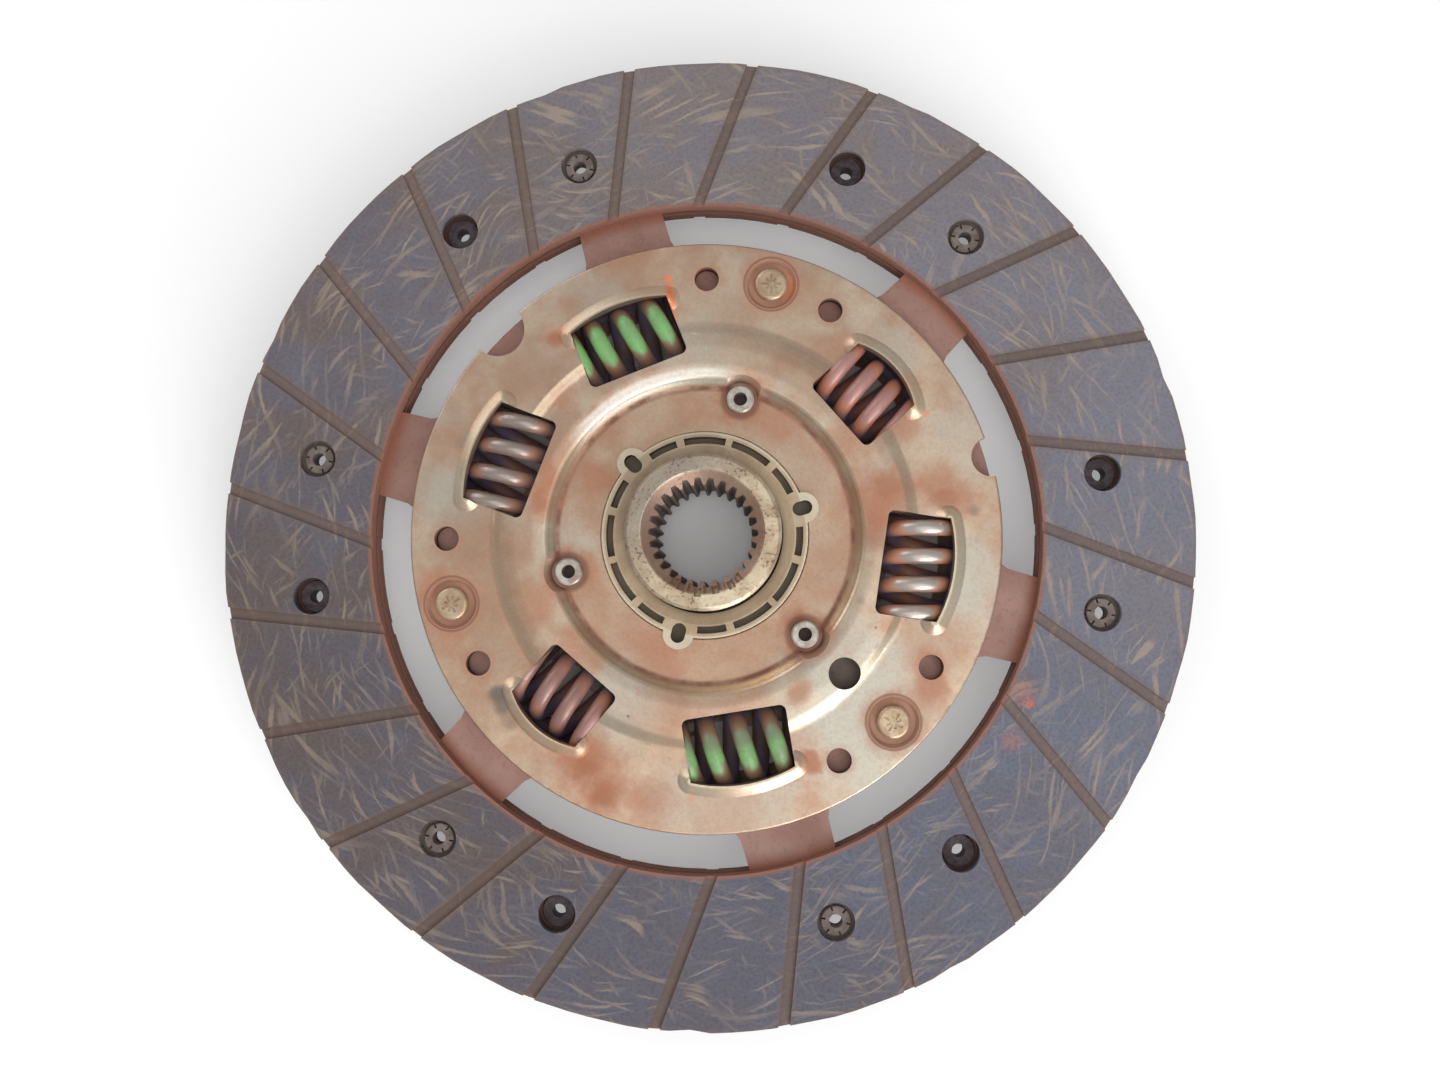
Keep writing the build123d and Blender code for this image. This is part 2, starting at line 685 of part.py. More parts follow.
# Front bush: guides the hub, rubs on the flange, slotted collar showing in the plate's bore
with BuildPart() as front_bush:
    with BuildSketch(Plane.XZ):
        with BuildLine():
            FilletPolyline(
                (bush_guide, bush_foot),
                (bush_flange, bush_foot),
                (bush_flange, bush_flange_top),
                (bush_outer, bush_flange_top),
                (bush_outer, collar_top),
                (bush_inner + collar_slope_width, collar_top),
                (bush_inner, collar_top - collar_slope_drop),
                (bush_inner, bush_foot + bush_lead),
                (bush_guide, bush_foot + bush_lead_edge),
                radius=[0, 0, 0, 0.3, 0.5, 0.2, 0],
            )
            Line((bush_guide, bush_foot + bush_lead_edge), (bush_guide, bush_foot))
        make_face()
    revolve(axis=Axis.Z)
    with BuildSketch(Plane.XY.offset(bush_foot)):
        with PolarLocations(eyelet_circle, 3, start_angle=90):
            Circle(bush_boss)
    extrude(amount=bush_flange_top - bush_foot)
    with BuildSketch(Plane.XY.offset(dish_top)):
        with PolarLocations(lug_circle, 3, start_angle=30):
            Circle(lug_radius)
        Circle(bush_inner + 3, mode=Mode.SUBTRACT)
    extrude(amount=collar_top - dish_top)
    with BuildSketch(Plane.XY.offset(collar_top)) as collar_openings:
        for turn in lug_angles:
            for first, last in collar_slots:
                inside = collar_slot_circle - collar_slot_half
                outside = collar_slot_circle + collar_slot_half
                angles = [turn + first, turn + (first + last) / 2, turn + last]
                with BuildLine() as opening:
                    Line(polar(inside, angles[0]), polar(outside, angles[0]))
                    ThreePointArc(*[polar(outside, angle) for angle in angles])
                    Line(polar(outside, angles[2]), polar(inside, angles[2]))
                    ThreePointArc(*[polar(inside, angle) for angle in reversed(angles)])
                make_face(opening.edges())
    extrude(collar_openings.sketch, amount=-collar_slot_depth, mode=Mode.SUBTRACT)
    with BuildSketch(Plane.XY.offset(bush_flange_top)):
        with PolarLocations(lug_slot_circle, 3, start_angle=30):
            SlotOverall(lug_slot_length, lug_slot_width)
    extrude(amount=lug_slot_cut, mode=Mode.SUBTRACT)
    with BuildSketch(Plane.XY.offset(flange_top)):
        with PolarLocations(eyelet_circle, 3, start_angle=90):
            Circle(eyelet_outer + eyelet_fit)
    extrude(amount=sheet, mode=Mode.SUBTRACT)
    with BuildSketch(Plane.XY.offset(flange_top)):
        with PolarLocations(eyelet_circle, 3, start_angle=90):
            Circle(eyelet_recess)
    extrude(amount=eyelet_recess_depth, mode=Mode.SUBTRACT)

# Rear friction bush, pressure ring and disc spring, stacked in the rear plate's bowl
with BuildPart() as rear_bush:
    with BuildSketch(Plane.XZ):
        with BuildLine():
            FilletPolyline(
                (bush_guide, rear_bush_foot),
                (rear_bush_collar, rear_bush_foot),
                (rear_bush_collar, rear_bush_face),
                (rear_bush_flange, rear_bush_face),
                (rear_bush_flange, rear_bush_top),
                (bush_guide, rear_bush_top),
                radius=[0.4, 0, 0, 0.3],
            )
            Line((bush_guide, rear_bush_top), (bush_guide, rear_bush_foot))
        make_face()
    revolve(axis=Axis.Z)

with BuildPart() as pressure_ring:
    with BuildSketch(Plane.XY.offset(ring_bottom)):
        annulus(ring_outer, ring_inner)
    extrude(amount=ring_thick)
    with BuildSketch(Plane.XY.offset(bowl_bottom + tab_spare)):
        with PolarLocations(tab_circle, 4, start_angle=45):
            Rectangle(tab_thick, tab_width)
    extrude(amount=ring_bottom - bowl_bottom - tab_spare)

with BuildPart() as disc_spring:
    with BuildSketch(Plane.XZ):
        with BuildLine():
            Polyline(
                (leaf_inner, ring_bottom),
                (leaf_outer, bowl_top + leaf_thick),
                (leaf_outer, bowl_top),
                (leaf_inner, ring_bottom - leaf_thick),
                close=True,
            )
        make_face()
    revolve(axis=Axis.Z)


def wind_spring(half, wire, pitch, first_coil):
    """Coil spring along Z from z = 0, cut flat at both ends, with a coil on +X at first_coil."""
    length = 2 * (half - end_clearance)
    coil = spring_radius - wire / 2
    start = first_coil - 2 * pitch
    turns = 5 + int(length / pitch)
    with BuildPart() as spring:
        with BuildLine():
            path = Helix(pitch, turns * pitch, coil, center=(0, 0, start))
        with BuildSketch(Plane(path @ 0, z_dir=path % 0)):
            Circle(wire / 2)
        sweep(path=path, is_frenet=True)
        with BuildSketch(Plane.XY):
            Circle(spring_radius + 2)
        extrude(amount=length, mode=Mode.INTERSECT)
    return spring.part


pieces = {
    "hub": hub.part,
    "front_retainer_plate": front_retainer_plate.part,
    "rear_retainer_plate": rear_retainer_plate.part,
    "cushion_disc": cushion_disc.part,
    "front_facing": front_facing.part,
    "rear_facing": rear_facing.part,
    "front_facing_rivets": front_facing_rivets.part,
    "rear_facing_rivets": rear_facing_rivets.part,
    "stop_pins": stop_pins.part,
    "eyelets": eyelets.part,
    "front_bush": front_bush.part,
    "rear_bush": rear_bush.part,
    "pressure_ring": pressure_ring.part,
    "disc_spring": disc_spring.part,
}
for name, angle, half, wire, pitch, first_coil in springs:
    end = Vector(*polar(spring_circle, angle)) + Vector(*polar(half - end_clearance, angle + 90))
    seat = Plane((end.X, end.Y, flange_mid), x_dir=(0, 0, 1), z_dir=(*polar(-1, angle + 90), 0))
    pieces[name] = seat * wind_spring(half, wire, pitch, first_coil)

for name, piece in pieces.items():
    piece.label = name
    export_step(piece, f"parts/{name}.step")
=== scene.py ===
import math

import bpy
from mathutils import Matrix, Vector


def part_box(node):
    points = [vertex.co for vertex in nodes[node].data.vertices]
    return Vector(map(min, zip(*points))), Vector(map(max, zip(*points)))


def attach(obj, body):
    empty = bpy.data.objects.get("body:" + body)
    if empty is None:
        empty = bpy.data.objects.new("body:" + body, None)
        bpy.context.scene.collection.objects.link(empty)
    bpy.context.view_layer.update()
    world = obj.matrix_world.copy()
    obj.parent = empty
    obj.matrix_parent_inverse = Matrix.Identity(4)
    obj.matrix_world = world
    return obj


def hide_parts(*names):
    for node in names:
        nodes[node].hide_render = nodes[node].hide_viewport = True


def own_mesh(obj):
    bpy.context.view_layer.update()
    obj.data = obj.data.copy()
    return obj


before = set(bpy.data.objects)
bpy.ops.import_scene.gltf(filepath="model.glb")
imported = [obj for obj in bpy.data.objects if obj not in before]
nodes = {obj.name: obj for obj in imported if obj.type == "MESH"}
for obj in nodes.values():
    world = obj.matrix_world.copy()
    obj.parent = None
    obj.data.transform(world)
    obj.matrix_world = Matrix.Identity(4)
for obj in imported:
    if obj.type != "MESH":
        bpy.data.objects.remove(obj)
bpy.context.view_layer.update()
print("frame loaded:", len(nodes), "nodes")


def topOf(node):  # millimetres above the floor
    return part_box(node)[1].z * 1000


def bottomOf(node):
    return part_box(node)[0].z * 1000


def tint(red, green, blue):  # a colour picked on screen, 0 to 255, as the shaders want it
    def linear(value):
        value /= 255
        return value / 12.92 if value <= 0.04045 else ((value + 0.055) / 1.055) ** 2.4

    return (linear(red), linear(green), linear(blue), 1)


def polar(radius, angle):
    return radius * math.cos(math.radians(angle)), radius * math.sin(math.radians(angle))


# the camera stands where the photographer did, a little off the axis; millimetres and degrees
camera = {
    "lens": 29.0,
    "sensor": 36.0,
    "tiltX": -3.76,
    "tiltY": 1.66,
    "offset": (-3.5, -1.2, 262.0),
    "turn": 14.83,
}


def addCamera():
    flip = Matrix(((1, 0, 0), (0, -1, 0), (0, 0, -1)))
    tiltX = Matrix.Rotation(math.radians(camera["tiltX"]), 3, "X")
    tiltY = Matrix.Rotation(math.radians(camera["tiltY"]), 3, "Y")
    back = (tiltX @ tiltY).transposed()
    turn = Matrix.Rotation(math.radians(camera["turn"]), 3, "Z") @ flip
    place = turn @ (-(back @ Vector(camera["offset"])) / 1000)
    place.z += topOf("front_facing") / 1000
    bpy.ops.object.camera_add()
    eye = bpy.context.object
    eye.matrix_world = Matrix.Translation(place) @ (turn @ back @ flip).to_4x4()
    eye.data.lens = camera["lens"]
    eye.data.sensor_width = camera["sensor"]
    eye.data.clip_start = 0.01
    bpy.context.scene.camera = eye


addCamera()
print("camera set")


def put(tree, kind, inputs=None, **settings):
    node = tree.nodes.new(kind)
    for name, value in settings.items():
        setattr(node, name, value)
    for key, value in (inputs or {}).items():
        if isinstance(value, bpy.types.NodeSocket):
            tree.links.new(value, node.inputs[key])
        else:
            node.inputs[key].default_value = value
    return node


def calc(tree, operation, *values):
    return put(tree, "ShaderNodeMath", dict(enumerate(values)), operation=operation).outputs[0]


def fade(tree, value, start, end, low=0.0, high=1.0):  # smooth step from low to high
    inputs = {0: value, 1: start, 2: end, 3: low, 4: high}
    return put(tree, "ShaderNodeMapRange", inputs, interpolation_type="SMOOTHSTEP").outputs[0]


def mixColour(tree, factor, first, second):
    return put(tree, "ShaderNodeMix", {0: factor, 6: first, 7: second}, data_type="RGBA").outputs[2]


def moved(tree, operation, *values):
    inputs = {(3 if operation == "SCALE" and number else number): value for number, value in enumerate(values)}
    return put(tree, "ShaderNodeVectorMath", inputs, operation=operation).outputs[0]


def most(tree, *masks):  # the strongest of several masks
    result = masks[0]
    for mask in masks[1:]:
        result = calc(tree, "MAXIMUM", result, mask)
    return result


def times(tree, *values):
    result = values[0]
    for value in values[1:]:
        result = calc(tree, "MULTIPLY", result, value)
    return result


def without(tree, mask, other):  # a mask with another one taken out
    return calc(tree, "MULTIPLY", mask, calc(tree, "SUBTRACT", 1.0, other))


def startGroup(name, inputs, outputs):
    tree = bpy.data.node_groups.new(name, "ShaderNodeTree")
    for title, value in inputs.items():
        kind = "Vector" if value is None else "Float"
        socket = tree.interface.new_socket(title, in_out="INPUT", socket_type="NodeSocket" + kind)
        if value is not None:
            socket.default_value = value
    for title in outputs:
        tree.interface.new_socket(title, in_out="OUTPUT", socket_type="NodeSocketFloat")
    return tree, tree.nodes.new("NodeGroupInput").outputs, tree.nodes.new("NodeGroupOutput").inputs


def place(tree, group, **values):
    return put(tree, "ShaderNodeGroup", values, node_tree=group).outputs


# effects that several finishes share; every place and size is in millimetres


def makeDiskPlace():  # where a point lies on the disc
    tree, take, give = startGroup("diskPlace", {"Vector": None}, ["Radius", "Angle", "Height"])
    parts = put(tree, "ShaderNodeSeparateXYZ", {0: take["Vector"]}).outputs
    square = calc(tree, "ADD", times(tree, parts[0], parts[0]), times(tree, parts[1], parts[1]))
    tree.links.new(calc(tree, "SQRT", square), give["Radius"])
    tree.links.new(calc(tree, "ARCTAN2", parts[1], parts[0]), give["Angle"])
    tree.links.new(parts[2], give["Height"])
    return tree


def makeNearSpots():  # distance to the nearest of Count spots on a circle, or of pairs Side degrees either way
    values = {"Vector": None, "Circle": 50.0, "Start": 0.0, "Count": 3.0, "Side": 0.0}
    tree, take, give = startGroup("nearSpots", values, ["Distance"])
    spot = place(tree, diskPlace, Vector=take["Vector"])
    step = calc(tree, "DIVIDE", 2 * math.pi, take["Count"])
    half = calc(tree, "MULTIPLY", step, 0.5)
    turned = calc(tree, "SUBTRACT", spot["Angle"], calc(tree, "RADIANS", take["Start"]))
    wrapped = calc(tree, "FLOORED_MODULO", calc(tree, "ADD", turned, half), step)
    folded = calc(tree, "ABSOLUTE", calc(tree, "SUBTRACT", wrapped, half))
    angle = calc(tree, "SUBTRACT", folded, calc(tree, "RADIANS", take["Side"]))
    along = calc(tree, "SUBTRACT", times(tree, spot["Radius"], calc(tree, "COSINE", angle)), take["Circle"])
    across = times(tree, spot["Radius"], calc(tree, "SINE", angle))
    total = calc(tree, "ADD", times(tree, along, along), times(tree, across, across))
    tree.links.new(calc(tree, "SQRT", total), give["Distance"])
    return tree


def makeBlotches():  # cloudy patches: Level is where they start, Edge how soft they are
    values = {"Vector": None, "Size": 10.0, "Level": 0.5, "Edge": 0.08, "Detail": 4.0, "Seed": 0.0}
    tree, take, give = startGroup("blotches", values, ["Mask", "Value"])
    away = {0: times(tree, take["Seed"], 31.7), 1: times(tree, take["Seed"], 17.3)}
    shift = put(tree, "ShaderNodeCombineXYZ", away).outputs[0]
    scaled = moved(tree, "SCALE", take["Vector"], calc(tree, "DIVIDE", 1.0, take["Size"]))
    inputs = {"Vector": moved(tree, "ADD", scaled, shift), "Scale": 1.0, "Detail": take["Detail"], "Roughness": 0.55}
    noise = put(tree, "ShaderNodeTexNoise", inputs).outputs[0]
    low = calc(tree, "SUBTRACT", take["Level"], take["Edge"])
    high = calc(tree, "ADD", take["Level"], take["Edge"])
    tree.links.new(fade(tree, noise, low, high), give["Mask"])
    tree.links.new(noise, give["Value"])
    return tree


def makePatch():  # one patch round a spot on the disc; Shake, a cloudy value, makes it ragged
    values = {"Vector": None, "Shake": 0.5, "X": 0.0, "Y": 0.0, "Size": 5.0, "Ragged": 3.0, "Soft": 0.5}
    tree, take, give = startGroup("patch", values, ["Mask"])
    centre = put(tree, "ShaderNodeCombineXYZ", {0: take["X"], 1: take["Y"]}).outputs[0]
    flat = moved(tree, "MULTIPLY", take["Vector"], (1, 1, 0))
    distance = put(tree, "ShaderNodeVectorMath", {0: flat, 1: centre}, operation="DISTANCE").outputs["Value"]
    shake = times(tree, calc(tree, "SUBTRACT", take["Shake"], 0.5), take["Size"], take["Ragged"])
    start = times(tree, take["Size"], calc(tree, "ADD", 1.0, take["Soft"]))
    end = times(tree, take["Size"], calc(tree, "SUBTRACT", 1.0, take["Soft"]))
    tree.links.new(fade(tree, calc(tree, "ADD", distance, shake), start, end), give["Mask"])
    return tree


def makeStrokes():  # long thin curved strokes that lie at one angle on a flat pattern
    values = {"Vector": None, "Angle": 0.0, "Length": 16.0, "Width": 1.6, "Level": 0.6, "Seed": 0.0}
    tree, take, give = startGroup("strokes", values, ["Mask"])
    bend = put(tree, "ShaderNodeTexNoise", {"Vector": take["Vector"], "Scale": 0.05, "Detail": 0.0}).outputs[1]
    swing = moved(tree, "SCALE", moved(tree, "SUBTRACT", bend, (0.5, 0.5, 0.5)), 11.0)
    fine = put(tree, "ShaderNodeTexNoise", {"Vector": take["Vector"], "Scale": 0.8, "Detail": 1.0}).outputs[1]
    ragged = moved(tree, "SCALE", moved(tree, "SUBTRACT", fine, (0.5, 0.5, 0.5)), 0.6)
    bent = moved(tree, "ADD", moved(tree, "ADD", take["Vector"], swing), ragged)
    inputs = {0: bent, 3: calc(tree, "RADIANS", take["Angle"])}
    turned = put(tree, "ShaderNodeVectorRotate", inputs, rotation_type="Z_AXIS").outputs[0]
    parts = put(tree, "ShaderNodeSeparateXYZ", {0: turned}).outputs
    along = calc(tree, "DIVIDE", parts[0], take["Length"])
    across = calc(tree, "DIVIDE", parts[1], take["Width"])
    cell = put(tree, "ShaderNodeCombineXYZ", {0: along, 1: across, 2: times(tree, take["Seed"], 7.3)}).outputs[0]
    noise = put(tree, "ShaderNodeTexNoise", {"Vector": cell, "Scale": 1.0, "Detail": 1.0, "Roughness": 0.4}).outputs[0]
    tree.links.new(fade(tree, noise, take["Level"], calc(tree, "ADD", take["Level"], 0.15)), give["Mask"])
    return tree


diskPlace = makeDiskPlace()
nearSpots = makeNearSpots()
blotches = makeBlotches()
patch = makePatch()
strokes = makeStrokes()
print("shared effects built")


def startFinish(name, roughness=0.5, metallic=0.0):
    material = bpy.data.materials.new(name)
    material.use_nodes = True
    tree = material.node_tree
    shader = tree.nodes["Principled BSDF"]
    shader.inputs["Roughness"].default_value = roughness
    shader.inputs["Metallic"].default_value = metallic
    where = put(tree, "ShaderNodeTexCoord").outputs["Object"]
    return material, tree, shader, moved(tree, "SCALE", where, 1000.0)


def wire(tree, shader, **values):
    for title, value in values.items():
        tree.links.new(value, shader.inputs["Base Color" if title == "Colour" else title])


def bump(tree, shader, height, depth, strength):  # depth in millimetres
    node = put(tree, "ShaderNodeBump", {"Height": height, "Distance": depth / 1000, "Strength": strength})
    tree.links.new(node.outputs[0], shader.inputs["Normal"])


# friction lining: wound yarn in resin, rubbed flat, with dust in the grooves and painted light and shade across it

lining = {
    # cool is painted light: the facing turns lighter and cooler towards the lower right
    "cool": tint(98, 102, 118),
    "base": tint(99, 95, 104),
    "warm": tint(106, 92, 88),
    "yarn": tint(164, 146, 128),
    "dust": tint(114, 94, 84),
    "rust": tint(138, 94, 78),
    "pocket": tint(108, 96, 88),
    "dark": tint(50, 40, 38),
    "holeShade": tint(66, 56, 58),
    # painted light and shade: a paler tone towards the top and a brown one towards the bottom
    "worn": tint(158, 150, 150),
    "paintedShadeBrown": tint(70, 58, 58),
    "stain": tint(182, 108, 84),
    "grooveCount": 24,
    "grooveStart": 9.0,
    "grooveOffset": 28.5,
    "grooveHalf": 1.25,
    "meanRadius": 93.0,
    "rivetCircle": 90.5,
    "rivetStart": 3.6,
    # strokes as angle, length, width, level and seed: two that cross, one along the winding and a few steep ones
    "layers": [
        (24, 13, 1.3, 0.575, 1.0),
        (-22, 13, 1.3, 0.575, 2.0),
        (2, 15, 1.3, 0.6, 3.0),
        (-48, 10, 1.3, 0.635, 4.0),
    ],
    # orange spots as x, y, size and strength
    "stains": [(79.5, -18.0, 1.0, 0.8), (77.6, -16.0, 2.4, 0.3), (77.8, -27.0, 2.0, 0.3)],
}


def makeLining(name, face, seed):
    material, tree, shader, vector = startFinish(name, 0.82)
    spot = place(tree, diskPlace, Vector=vector)
    radius = spot["Radius"]
    lean = calc(tree, "ARCSINE", calc(tree, "DIVIDE", lining["grooveOffset"], calc(tree, "MAXIMUM", radius, 40.0)))
    turned = calc(tree, "SUBTRACT", calc(tree, "SUBTRACT", spot["Angle"], lean), math.radians(lining["grooveStart"]))
    wound = calc(tree, "FLOORED_MODULO", turned, 2 * math.pi)
    step = 2 * math.pi / lining["grooveCount"]
    wrapped = calc(tree, "FLOORED_MODULO", calc(tree, "ADD", wound, step / 2), step)
    reach = calc(tree, "SQRT", calc(tree, "SUBTRACT", times(tree, radius, radius), lining["grooveOffset"] ** 2))
    fromGroove = calc(tree, "ABSOLUTE", times(tree, calc(tree, "SUBTRACT", wrapped, step / 2), reach))
    around = times(tree, wound, lining["meanRadius"])
    flat = put(tree, "ShaderNodeCombineXYZ", {0: around, 1: radius, 2: seed}).outputs[0]

    large = place(tree, blotches, Vector=vector, Size=42.0, Seed=seed)["Value"]
    patches = place(tree, blotches, Vector=vector, Size=15.0, Level=0.52, Edge=0.12, Seed=seed + 3)
    grain = place(tree, blotches, Vector=vector, Size=0.8, Detail=3.0, Seed=seed)["Value"]
    across = put(tree, "ShaderNodeSeparateXYZ", {0: vector}).outputs
    # painted light and shade by place: lighter and cooler towards the lower right, paler towards the top, browner
    # towards the bottom
    paintedLightToRight = calc(tree, "SUBTRACT", times(tree, across[0], 0.0023), times(tree, across[1], 0.0012))
    side = fade(tree, calc(tree, "ADD", large, paintedLightToRight), 0.33, 0.67)
    paintedLightUp = calc(tree, "ADD", times(tree, across[0], 0.0022), times(tree, across[1], 0.0062))
    paintedLightUp = calc(tree, "ADD", calc(tree, "SUBTRACT", large, 0.5), paintedLightUp)
    colour = mixColour(tree, side, lining["base"], lining["cool"])
    colour = mixColour(tree, times(tree, patches["Mask"], fade(tree, side, 0.0, 1.0, 0.85, 0.3)), colour, lining["warm"])
    colour = mixColour(tree, fade(tree, paintedLightUp, -0.1, 0.6, 0.0, 0.25), colour, lining["worn"])
    colour = mixColour(tree, fade(tree, paintedLightUp, 0.15, -0.55, 0.0, 0.4), colour, lining["paintedShadeBrown"])
    colour = mixColour(tree, fade(tree, grain, 0.42, 0.7, 0.0, 0.17), colour, lining["dark"])

    bundle = place(tree, blotches, Vector=flat, Size=17.0, Edge=0.05, Detail=1.0, Seed=seed + 6)["Mask"]
    shown = place(tree, blotches, Vector=flat, Size=12.0, Level=0.47, Edge=0.2, Detail=2.0, Seed=seed + 9)["Mask"]
    shares = (fade(tree, bundle, 0.0, 1.0, 0.35, 1.0), fade(tree, bundle, 1.0, 0.0, 0.35, 1.0), 0.8, 0.6)
    masks = []
    for share, (angle, length, width, level, layerSeed) in zip(shares, lining["layers"]):
        values = {"Angle": angle, "Length": length, "Width": width, "Level": level, "Seed": layerSeed + seed}
        masks.append(times(tree, place(tree, strokes, Vector=flat, **values)["Mask"], share))
    fibres = times(tree, most(tree, *masks), fade(tree, shown, 0.0, 1.0, 0.55, 1.0))
    # painted light: the yarn shows more towards the top
    shine = fade(tree, paintedLightUp, -0.5, 0.5, 0.5, 0.66)
    colour = mixColour(tree, times(tree, fibres, shine), colour, lining["yarn"])

    half = lining["grooveHalf"]
    ragged = calc(tree, "MULTIPLY_ADD", calc(tree, "SUBTRACT", patches["Value"], 0.5), 3.0, fromGroove)
    depth = calc(tree, "ABSOLUTE", calc(tree, "SUBTRACT", spot["Height"], face))
    nearGroove = times(tree, fade(tree, ragged, half + 1.3, half - 0.6), fade(tree, large, 0.35, 0.6, 0.85, 0.45))
    inGroove = times(tree, fade(tree, depth, 0.12, 0.5), fade(tree, fromGroove, half + 0.4, half), 0.75)
    dusty = times(tree, most(tree, nearGroove, inGroove), fade(tree, grain, 0.25, 0.55, 0.65, 1.0))
    colour = mixColour(tree, dusty, colour, lining["dust"])
    for x, y, size, strength in lining["stains"]:
        mark = place(tree, patch, Vector=vector, Shake=grain, X=x, Y=y, Size=size, Soft=0.6)["Mask"]
        colour = mixColour(tree, times(tree, mark, strength), colour, lining["stain"])

    rivets = {"Circle": lining["rivetCircle"], "Start": lining["rivetStart"], "Count": 6.0}
    ownRivet = fade(tree, place(tree, nearSpots, Vector=vector, **rivets)["Distance"], 6.5, 5.5)
    # painted shade on the walls of the holes for the other facing's rivets; the own rivet pockets get a dusty tone
    wall = times(tree, fade(tree, depth, 0.9, 1.2), 0.9)
    colour = mixColour(tree, wall, colour, mixColour(tree, ownRivet, lining["holeShade"], lining["pocket"]))
    inner = times(tree, fade(tree, radius, 77.2, 76.1), fade(tree, grain, 0.3, 0.6, 0.75, 1.0))
    colour = mixColour(tree, inner, colour, lining["rust"])
    colour = mixColour(tree, fade(tree, radius, 108.6, 109.9, 0.0, 0.5), colour, lining["dust"])
    wire(tree, shader, Colour=colour, Roughness=fade(tree, grain, 0.3, 0.7, 0.72, 0.9))
    bump(tree, shader, calc(tree, "ADD", times(tree, grain, 0.6), times(tree, fibres, 0.35)), 0.22, 0.8)
    return material


# cushion disc and the other dull spring steel

spring = {
    "face": tint(146, 108, 96),
    "dark": tint(112, 78, 68),
    "light": tint(162, 126, 114),
    "rust": tint(150, 92, 70),
}


def makeSpringSteel():
    material, tree, shader, vector = startFinish("spring_steel", 0.5, 0.2)
    radius = place(tree, diskPlace, Vector=vector)["Radius"]
    clouds = place(tree, blotches, Vector=vector, Size=14.0, Edge=0.2, Detail=2.0, Seed=4.0)["Mask"]
    specks = place(tree, blotches, Vector=vector, Size=0.9, Level=0.6, Edge=0.08, Seed=8.0)
    colour = mixColour(tree, clouds, spring["face"], spring["light"])
    colour = mixColour(tree, fade(tree, radius, 72.5, 75.5, 0.0, 0.8), colour, spring["rust"])
    colour = mixColour(tree, times(tree, specks["Mask"], 0.3), colour, spring["dark"])
    wire(tree, shader, Colour=colour, Roughness=fade(tree, clouds, 0.0, 1.0, 0.52, 0.4))
    bump(tree, shader, specks["Value"], 0.05, 0.5)
    return material


# plated retainer plates: yellowed zinc, satin, with washes and blooms of rust

